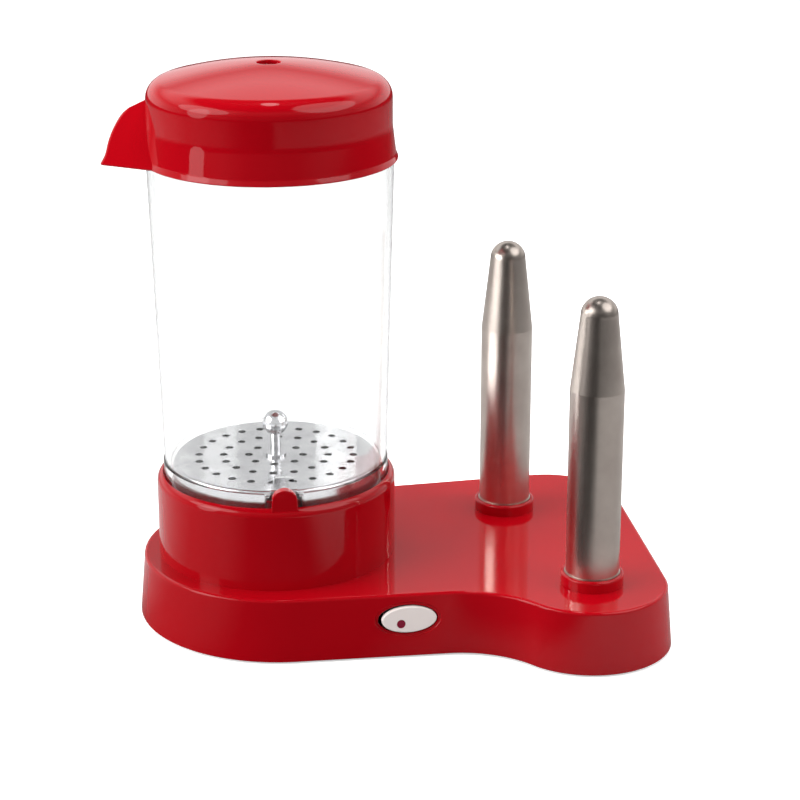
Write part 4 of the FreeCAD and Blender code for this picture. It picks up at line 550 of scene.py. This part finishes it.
def make_chamber():
    """Clear wall whose closed section goes round the tower's axis. Its two sides are straight from foot to
    step and from step to rim, with a quarter round at the foot outside. In the notch's width the columns lie
    at fixed distances across, and the section's low points rise to the notch's edge."""
    rows = np.concatenate([
        CHAMBER_FOOT_Z + np.array([0.0, 0.08, 0.2, 0.4]),
        np.linspace(CHAMBER_FOOT_Z + 1.0, FOOT_TOP_Z - 0.25, 8),
        FOOT_TOP_Z + np.array([0.0, 0.2, FOOT_STEP, 0.8, 2.0, 4.0, 6.0]), [NOTCH_TOP_Z],
        np.linspace(NOTCH_TOP_Z + 4.4, CHAMBER_TOP_Z - CHAMBER_RIM_R, 20)])
    step_z, step_r = FOOT_TOP_Z + FOOT_STEP, CHAMBER_FOOT_R - FOOT_STEP
    outer_line = (FOOT_TOP_Z, step_z, CHAMBER_TOP_Z), (CHAMBER_FOOT_R, step_r, CHAMBER_TOP_R)
    inner_line = ((FOOT_TOP_Z - FOOT_STEP, step_z, CHAMBER_TOP_Z),
                  (CHAMBER_BORE_R, step_r - CHAMBER_WALL, CHAMBER_TOP_R - CHAMBER_WALL))
    share = np.clip((rows - CHAMBER_FOOT_Z) / CHAMBER_FOOT_ROUND, 0, 1)
    outer_r = np.interp(rows, *outer_line) - CHAMBER_FOOT_ROUND * (1 - np.sqrt(share * (2 - share)))
    rim_z = CHAMBER_TOP_Z - CHAMBER_RIM_R - 0.1
    rim = rounded([(CHAMBER_TOP_R, rim_z, 0), (CHAMBER_TOP_R, CHAMBER_TOP_Z, CHAMBER_RIM_R),
                   (CHAMBER_TOP_R - CHAMBER_WALL, CHAMBER_TOP_Z, CHAMBER_RIM_R),
                   (CHAMBER_TOP_R - CHAMBER_WALL, rim_z, 0)], steps=5)[1:-1]
    section = np.concatenate([np.stack([outer_r, rows], axis=1), rim,
                              np.stack([np.interp(rows, *inner_line), rows], axis=1)[::-1]])
    section_r, section_z = section[:, :1], section[:, 1:]

    across, edge = notch_edge()
    across, edge = (np.concatenate([left[:0:-1], right]) for left, right in ((-across, across), (edge, edge)))
    raised = np.maximum(section_z, edge)
    on_outside = np.arange(len(section))[:, None] < len(rows)
    wall_r = np.where(on_outside, np.interp(raised, *outer_line), np.interp(raised, *inner_line))
    notched_r = np.where(section_z < edge, wall_r, section_r)

    plain_a = np.linspace(NOTCH_SECTOR_A, 2 * math.pi - NOTCH_SECTOR_A, CHAMBER_COLUMNS)[None]
    whole = np.ones((len(section), plain_a.size))
    angle = TAB_A + np.concatenate([np.arcsin(across / notched_r), plain_a * whole], axis=1)
    radius = np.concatenate([notched_r, section_r * whole], axis=1)
    height = np.concatenate([raised, section_z * whole], axis=1)
    wall = np.stack([TOWER[0] + radius * np.cos(angle), TOWER[1] + radius * np.sin(angle), height], axis=-1)
    skin = Skin()
    skin.grid(wall, wrap_rows=True, wrap_columns=True)
    return skin.piece("chamber_wall", FINISHES["clear_wall"], "chamber", "steam_chamber", "clear_wall")


# ---------------------------------------------------------------- materials

# a Mix node's sockets: the inputs for its two values or two colours, and the output for a colour
MIX_VALUES, MIX_COLOURS, MIX_COLOUR_RESULT = (2, 3), (6, 7), 2


def new_group(name, inputs, outputs):
    """An empty shader node group with float inputs (name, value) and outputs (name, socket type)."""
    tree = bpy.data.node_groups.new(name, "ShaderNodeTree")
    for title, value in inputs:
        tree.interface.new_socket(title, in_out="INPUT", socket_type="NodeSocketFloat").default_value = value
    for title, kind in outputs:
        tree.interface.new_socket(title, in_out="OUTPUT", socket_type=kind)
    return tree, tree.nodes.new("NodeGroupInput"), tree.nodes.new("NodeGroupOutput")


def add(tree, kind, links=(), **values):
    """A node with its properties and constant inputs set, and sockets linked in."""
    node = tree.nodes.new(kind)
    for key, value in values.items():
        if hasattr(node, key):
            setattr(node, key, value)
        else:
            node.inputs[key.replace("_", " ")].default_value = value
    for socket, source in links:
        tree.links.new(source, node.inputs[socket])
    return node


def put(tree, socket, value):
    """Set an input socket to a number, or link it to an output socket."""
    if isinstance(value, bpy.types.NodeSocket):
        tree.links.new(value, socket)
    else:
        socket.default_value = value


def reckon(tree, operation, first, second, clamp=False):
    """The result of one sum on two values."""
    node = add(tree, "ShaderNodeMath", operation=operation, use_clamp=clamp)
    put(tree, node.inputs[0], first)
    put(tree, node.inputs[1], second)
    return node.outputs[0]


def ramp(tree, value, start, end, low=0.0, high=1.0):
    """A value that runs from low to high while the given one runs from start to end."""
    return add(tree, "ShaderNodeMapRange", [("Value", value)],
               From_Min=start, From_Max=end, To_Min=low, To_Max=high).outputs["Result"]


def between(tree, share, first, second):
    """A value that is the first where the share is nought, and the second where it is one."""
    node = add(tree, "ShaderNodeMix", [("Factor", share)], data_type="FLOAT")
    put(tree, node.inputs[MIX_VALUES[0]], first)
    put(tree, node.inputs[MIX_VALUES[1]], second)
    return node.outputs[0]


def moulding_skin():
    """Moulded plastic's surface. Height: a fine orange peel. Roughness: a base value, raised by soft
    handling smudges and by fine hairline scuffs. Tone: slow drifts of the pigment."""
    tree, enter, leave = new_group("moulding_skin", [
        ("Base roughness", 0.08), ("Smudge", 0.05), ("Peel scale", 900.0), ("Scuff", 0.04)],
        [("Roughness", "NodeSocketFloat"), ("Height", "NodeSocketFloat"), ("Tone", "NodeSocketFloat")])
    place = add(tree, "ShaderNodeTexCoord").outputs["Object"]
    peel = add(tree, "ShaderNodeTexNoise", [("Vector", place), ("Scale", enter.outputs["Peel scale"])],
               Detail=1.0, Roughness=0.4)
    smudge = add(tree, "ShaderNodeTexNoise", [("Vector", place)], Scale=26.0, Detail=5.0, Roughness=0.62)
    patches = ramp(tree, smudge.outputs["Fac"], 0.46, 0.72)
    stretch = add(tree, "ShaderNodeMapping", [("Vector", place)])
    stretch.inputs["Scale"].default_value = (60.0, 900.0, 60.0)
    stretch.inputs["Rotation"].default_value = (0.3, 0.5, 0.9)
    hair = add(tree, "ShaderNodeTexNoise", [("Vector", stretch.outputs["Vector"])], Scale=1.0, Detail=2.0)
    lines = ramp(tree, hair.outputs["Fac"], 0.66, 0.74)
    rubbed = reckon(tree, "MULTIPLY", patches, enter.outputs["Smudge"])
    scuffed = reckon(tree, "MULTIPLY", lines, enter.outputs["Scuff"])
    worn = reckon(tree, "ADD", rubbed, scuffed)
    drift = add(tree, "ShaderNodeTexNoise", [("Vector", place)], Scale=9.0, Detail=2.0)
    put(tree, leave.inputs["Roughness"], reckon(tree, "ADD", worn, enter.outputs["Base roughness"]))
    put(tree, leave.inputs["Height"], peel.outputs["Fac"])
    put(tree, leave.inputs["Tone"], drift.outputs["Fac"])
    return tree


def drawn_steel():
    """Steel drawn or rolled along one axis. Height and Roughness: fine streaks, long along the axis whose
    Along input is small. Tone: broad soft bands in the metal's colour."""
    tree, enter, leave = new_group("drawn_steel", [
        ("Base roughness", 0.28), ("Streak", 0.12), ("Along X", 2200.0), ("Along Y", 2200.0),
        ("Along Z", 40.0)],
        [("Roughness", "NodeSocketFloat"), ("Height", "NodeSocketFloat"), ("Tone", "NodeSocketFloat")])
    place = add(tree, "ShaderNodeTexCoord").outputs["Object"]
    axes = add(tree, "ShaderNodeCombineXYZ", [
        ("X", enter.outputs["Along X"]), ("Y", enter.outputs["Along Y"]), ("Z", enter.outputs["Along Z"])])
    drawn = add(tree, "ShaderNodeVectorMath", [(0, place), (1, axes.outputs["Vector"])], operation="MULTIPLY")
    streak = add(tree, "ShaderNodeTexNoise", [("Vector", drawn.outputs["Vector"])], Scale=1.0, Detail=3.0,
                 Roughness=0.6)
    amount = reckon(tree, "MULTIPLY", streak.outputs["Fac"], enter.outputs["Streak"])
    bands = add(tree, "ShaderNodeTexNoise", [("Vector", place)], Scale=70.0, Detail=3.0)
    put(tree, leave.inputs["Roughness"], reckon(tree, "ADD", amount, enter.outputs["Base roughness"]))
    put(tree, leave.inputs["Height"], streak.outputs["Fac"])
    put(tree, leave.inputs["Tone"], bands.outputs["Fac"])
    return tree


MOULDING, STEEL = moulding_skin(), drawn_steel()


def new_material(name):
    """An empty material: itself, its tree and its Principled shader."""
    material = bpy.data.materials.new(name)
    material.use_nodes = True
    return material, material.node_tree, material.node_tree.nodes["Principled BSDF"]


def surface_of(tree, group, settings):
    """A surface group placed in a material with its own values."""
    skin = add(tree, "ShaderNodeGroup")
    skin.node_tree = group
    for title, value in settings.items():
        skin.inputs[title].default_value = value
    return skin


def finish(name, group, dark, light, settings, shader, relief):
    """A Principled material whose colour runs from dark to light by the group's Tone, with the group's
    roughness and a bump of its Height. The relief is the bump's strength and its depth in metres."""
    material, tree, principled = new_material(name)
    skin = surface_of(tree, group, settings)
    tone = ramp(tree, skin.outputs["Tone"], 0.3, 0.7)
    colour = add(tree, "ShaderNodeMix", [("Factor", tone)], data_type="RGBA")
    for socket, shade in zip(MIX_COLOURS, (dark, light)):
        colour.inputs[socket].default_value = (*shade, 1.0)
    strength, depth = relief
    bump = add(tree, "ShaderNodeBump", [("Height", skin.outputs["Height"])],
               Strength=strength, Distance=depth)
    put(tree, principled.inputs["Base Color"], colour.outputs[MIX_COLOUR_RESULT])
    put(tree, principled.inputs["Roughness"], skin.outputs["Roughness"])
    put(tree, principled.inputs["Normal"], bump.outputs["Normal"])
    for title, value in shader.items():
        principled.inputs[title].default_value = value
    return material


def plastic(name, dark, light, rough, smudge=0.05, peel=900.0, scuff=0.03, bump=0.02, **shader):
    """A moulded plastic or rubber."""
    return finish(name, MOULDING, dark, light,
                  {"Base roughness": rough, "Smudge": smudge, "Peel scale": peel, "Scuff": scuff},
                  {"IOR": 1.5, **shader}, (bump, 0.0004))


def metal(name, dark, light, rough, streak, along, bump=0.03, **shader):
    """A drawn or rolled metal, with its streaks' fineness along each axis."""
    return finish(name, STEEL, dark, light,
                  {"Base roughness": rough, "Streak": streak, "Along X": along[0], "Along Y": along[1],
                   "Along Z": along[2]}, {"Metallic": 1.0, **shader}, (bump, 0.0002))


UP, ACROSS = (2400.0, 2400.0, 45.0), (45.0, 2400.0, 2400.0)
FINISHES = {
    "red_shell": plastic("gloss_red", (0.345, 0.0008, 0.0044), (0.395, 0.0012, 0.0060), 0.05),
    "red_cover": plastic("satin_red", (0.40, 0.0040, 0.0100), (0.48, 0.0050, 0.0140), 0.34, bump=0.15),
    "silicone": plastic("milky_silicone", (0.70, 0.70, 0.68), (0.78, 0.78, 0.76), 0.45, peel=1500.0,
                        bump=0.06, **{"Subsurface Weight": 0.2}),
    "dark_rubber": plastic("dark_rubber", (0.018, 0.018, 0.019), (0.032, 0.032, 0.033), 0.62, peel=1900.0,
                           bump=0.25),
    "spike_steel": metal("satin_spike_steel", (0.58, 0.50, 0.45), (0.68, 0.60, 0.54), 0.26, 0.10, UP),
    "sheet_steel": metal("bright_sheet_steel", (0.48, 0.48, 0.49), (0.58, 0.58, 0.59), 0.14, 0.10, ACROSS),
    "zinc_steel": metal("zinc_plate", (0.52, 0.54, 0.58), (0.66, 0.67, 0.69), 0.30, 0.10, ACROSS),
    "element_steel": metal("heat_dark_steel", (0.10, 0.09, 0.085), (0.20, 0.18, 0.165), 0.42, 0.14, UP),
    "aluminium": metal("mill_aluminium", (0.70, 0.71, 0.73), (0.82, 0.83, 0.84), 0.28, 0.10, ACROSS),
    "brass": metal("bright_brass", (0.68, 0.46, 0.17), (0.80, 0.57, 0.24), 0.22, 0.08, ACROSS),
    "black_nylon": plastic("black_nylon", (0.012, 0.012, 0.013), (0.022, 0.022, 0.023), 0.42, peel=1400.0,
                           bump=0.10),
    "white_rocker": plastic("white_gloss", (0.82, 0.74, 0.71), (0.88, 0.80, 0.77), 0.10, smudge=0.03),
    "maroon_dot": plastic("maroon_ink", (0.17, 0.004, 0.020), (0.23, 0.006, 0.030), 0.25),
    "cream_block": plastic("cream_nylon", (0.66, 0.60, 0.46), (0.74, 0.68, 0.54), 0.40, bump=0.08),
}


def clear_polycarbonate():
    """Clear moulded wall: glass with faint scuffs, and shadows that let most light through."""
    material, tree, principled = new_material("clear_polycarbonate")
    skin = surface_of(tree, MOULDING,
                      {"Base roughness": 0.0, "Smudge": 0.02, "Scuff": 0.03, "Peel scale": 500.0})
    bump = add(tree, "ShaderNodeBump", [("Height", skin.outputs["Height"])], Strength=0.01, Distance=0.0004)
    in_shadow = add(tree, "ShaderNodeLightPath").outputs["Is Shadow Ray"]
    put(tree, principled.inputs["Roughness"], skin.outputs["Roughness"])
    put(tree, principled.inputs["Normal"], bump.outputs["Normal"])
    put(tree, principled.inputs["Alpha"], ramp(tree, in_shadow, 0.0, 1.0, 1.0, 0.08))
    principled.inputs["Base Color"].default_value = (0.985, 0.99, 0.99, 1.0)
    principled.inputs["Transmission Weight"].default_value = 1.0
    principled.inputs["IOR"].default_value = 1.5
    return material


FINISHES["clear_wall"] = clear_polycarbonate()

for part in frame["record"]["subparts"]:
    cad = NODES[part["node"]]
    cad.data.materials.clear()
    cad.data.materials.append(FINISHES[part["material_slot"]])

make_base()
make_lid()
make_chamber()

# ---------------------------------------------------------------- studio

# half the floor's width and the point that the softboxes look at, in metres
FLOOR_HALF, LOOK_AT = 6.0, (-0.05, 0.0, 0.15)
# how bright the floor and the room are to the camera and to bounced light, and the floor's own glow
FLOOR_PLAIN, FLOOR_BOUNCED, ROOM_PLAIN, ROOM_BOUNCED, FLOOR_GLOW = 0.90, 0.30, 1.0, 0.20, 0.50
# how bright mirror-like surfaces see the floor: beside the tower, right of it, behind it and in front
FLOOR_BESIDE, FLOOR_RIGHT, FLOOR_BEHIND, FLOOR_IN_FRONT = 0.12, 0.30, 0.42, 0.01
# how far right of the tower's axis its right side begins, in metres
RIGHT_BEGINS = (0.08, 0.18)
# how bright they see the room's walls: at the sides, in front and behind
WALLS_BESIDE, WALLS_IN_FRONT, WALLS_BEHIND = 0.14, 0.05, 0.36
# factors on those brightnesses, each as where its change starts and ends and its values there: over the far
# floor by the distance in metres, and up the walls, low down behind and overhead by the way's height
FAR_FLOOR, UP_WALLS = (0.7, 1.6, 1.0, 0.1), (0.37, 0.52, 1.0, 2.8)
LOW_BEHIND, OVERHEAD = (0.20, 0.36, 2.4, 1.0), (0.66, 0.78, 1.0, 0.04)
# the front sector's middle, and where the front ends and the back begins, in degrees to both sides of it
ROOM_TURN, FRONT_ENDS, BACK_BEGINS = math.radians(4.0), (24.0, 44.0), (80.0, 125.0)


def mirror_share(tree):
    """One for light that a mirror-like surface throws back, and nought for all other light."""
    rays = add(tree, "ShaderNodeLightPath")
    return reckon(tree, "MULTIPLY", rays.outputs["Is Glossy Ray"], rays.outputs["Is Reflection Ray"])


def room_sectors():
    """Where a way on the plan points in the studio, by its angle from the front. Front: one in the unlit
    sector towards the camera. Behind: one away from it."""
    tree, enter, leave = new_group("room_sectors", [("X", 0.0), ("Y", 0.0)],
                                   [("Front", "NodeSocketFloat"), ("Behind", "NodeSocketFloat")])
    ahead = reckon(tree, "MULTIPLY", enter.outputs["Y"], -1.0)
    angle = reckon(tree, "ARCTAN2", enter.outputs["X"], ahead)
    turned = reckon(tree, "SUBTRACT", angle, ROOM_TURN)
    off = add(tree, "ShaderNodeMath", [(0, turned)], operation="ABSOLUTE").outputs[0]
    for title, (near, far), share in (("Front", FRONT_ENDS, (1.0, 0.0)), ("Behind", BACK_BEGINS, (0.0, 1.0))):
        put(tree, leave.inputs[title], ramp(tree, off, math.radians(near), math.radians(far), *share))
    return tree


ROOM_SECTORS = room_sectors()


def sectors_of(tree, vector):
    """The x and z of a vector, and the shares of the front and back sectors that its way on the plan has."""
    axes = add(tree, "ShaderNodeSeparateXYZ", [("Vector", vector)])
    sector = add(tree, "ShaderNodeGroup")
    sector.node_tree = ROOM_SECTORS
    put(tree, sector.inputs["X"], axes.outputs["X"])
    put(tree, sector.inputs["Y"], axes.outputs["Y"])
    return axes.outputs["X"], axes.outputs["Z"], sector.outputs["Front"], sector.outputs["Behind"]


def studio_floor():
    """Pale floor. Mirror-like surfaces see it darker, most of all in a sector in front, where the room is
    unlit, and far away."""
    material, tree, principled = new_material("pale_floor")
    principled.inputs["Roughness"].default_value = 0.9
    principled.inputs["Specular IOR Level"].default_value = 0.1
    place = add(tree, "ShaderNodeTexCoord").outputs["Object"]
    shifted = add(tree, "ShaderNodeVectorMath", [(0, place)], operation="SUBTRACT")
    shifted.inputs[1].default_value = (*(TOWER * MM), 0.0)
    from_tower = shifted.outputs["Vector"]
    right_x, _, front, behind = sectors_of(tree, from_tower)
    right = ramp(tree, right_x, *RIGHT_BEGINS)
    lit = between(tree, behind, ramp(tree, right, 0.0, 1.0, FLOOR_BESIDE, FLOOR_RIGHT), FLOOR_BEHIND)
    unlit = reckon(tree, "SUBTRACT", front, right, clamp=True)
    away = add(tree, "ShaderNodeVectorMath", [(0, from_tower)], operation="LENGTH").outputs["Value"]
    seen = reckon(tree, "MULTIPLY", between(tree, unlit, lit, FLOOR_IN_FRONT), ramp(tree, away, *FAR_FLOOR))
    rays = add(tree, "ShaderNodeLightPath")
    plain = ramp(tree, rays.outputs["Is Diffuse Ray"], 0.0, 1.0, FLOOR_PLAIN, FLOOR_BOUNCED)
    glow = reckon(tree, "MULTIPLY", rays.outputs["Is Camera Ray"], FLOOR_GLOW)
    put(tree, principled.inputs["Base Color"], between(tree, mirror_share(tree), plain, seen))
    put(tree, principled.inputs["Emission Strength"], glow)
    principled.inputs["Emission Color"].default_value = (1.0, 1.0, 1.0, 1.0)
    mesh = bpy.data.meshes.new("floor")
    corners = [(x * FLOOR_HALF, y * FLOOR_HALF, 0) for x, y in ((-1, -1), (1, -1), (1, 1), (-1, 1))]
    mesh.from_pydata(corners, [], [(0, 1, 2, 3)])
    floor = bpy.data.objects.new("floor", mesh)
    bpy.context.scene.collection.objects.link(floor)
    mesh.materials.append(material)


def softbox(name, place, width, height, watts, aim=LOOK_AT, mirrored=False):
    """An area light that looks from a place towards a point. A lit one gives soft light and no reflection. A
    mirrored one is a dim round-ended panel that only shows in reflections."""
    light = bpy.data.lights.new(name, "AREA")
    light.shape = "ELLIPSE" if mirrored else "RECTANGLE"
    light.size, light.size_y, light.energy = width, height, watts
    lamp = bpy.data.objects.new(name, light)
    lamp.location = place
    lamp.rotation_euler = (Vector(aim) - Vector(place)).to_track_quat("-Z", "Y").to_euler()
    lamp.visible_glossy, lamp.visible_diffuse = mirrored, not mirrored
    bpy.context.scene.collection.objects.link(lamp)


def surroundings():
    """White room. Mirror-like surfaces see its walls grey behind, darker at the sides and darkest in front.
    To them the walls grow brighter with height, more so behind near the floor, and the ceiling is dim."""
    world = bpy.data.worlds.new("white_room")
    bpy.context.scene.world = world
    world.use_nodes = True
    tree = world.node_tree
    back = tree.nodes["Background"]
    _, height, front, behind = sectors_of(tree, add(tree, "ShaderNodeTexCoord").outputs["Generated"])
    walls = between(tree, behind, ramp(tree, front, 0.0, 1.0, WALLS_BESIDE, WALLS_IN_FRONT), WALLS_BEHIND)
    climb = ramp(tree, height, *UP_WALLS)
    horizon = between(tree, behind, 1.0, ramp(tree, height, *LOW_BEHIND))
    overhead = ramp(tree, height, *OVERHEAD)
    seen = walls
    for band in (climb, horizon, overhead):
        seen = reckon(tree, "MULTIPLY", seen, band)
    rays = add(tree, "ShaderNodeLightPath")
    plain = ramp(tree, rays.outputs["Is Diffuse Ray"], 0.0, 1.0, ROOM_PLAIN, ROOM_BOUNCED)
    put(tree, back.inputs["Strength"], between(tree, mirror_share(tree), plain, seen))
    back.inputs["Color"].default_value = (1.0, 1.0, 1.0, 1.0)


studio_floor()
surroundings()
softbox("softbox_left", (-1.5, -0.45, 0.8), width=1.6, height=1.1, watts=38.0)
softbox("softbox_right", (1.5, -0.45, 0.8), width=1.5, height=1.1, watts=21.0)
softbox("softbox_top", (0.0, 0.25, 1.7), width=1.2, height=0.9, watts=24.0, aim=(0.0, 0.0, 0.0))
softbox("panel_left", (-1.42, -0.62, 0.6), width=0.6, height=1.3, watts=3.0, mirrored=True)
softbox("panel_left_high", (-1.2, -0.5, 0.98), width=1.4, height=0.8, watts=4.4, mirrored=True)
softbox("panel_right_high", (0.95, -0.35, 1.3), width=1.5, height=1.4, watts=7.0, mirrored=True)
softbox("panel_slot", (-0.056, 0.10, 1.7), width=0.2, height=0.6, watts=1.1, mirrored=True)

# ---------------------------------------------------------------- camera

camera_data = bpy.data.cameras.new("camera")
camera_data.lens, camera_data.sensor_width = 103.5, 36.0
camera = bpy.data.objects.new("camera", camera_data)
camera.location = (0.0036, -1.039, 0.4621)
camera.rotation_euler = (math.radians(70.91), 0.0, 0.0)
bpy.context.scene.collection.objects.link(camera)
bpy.context.scene.camera = camera
bpy.context.scene.view_settings.view_transform = "Standard"
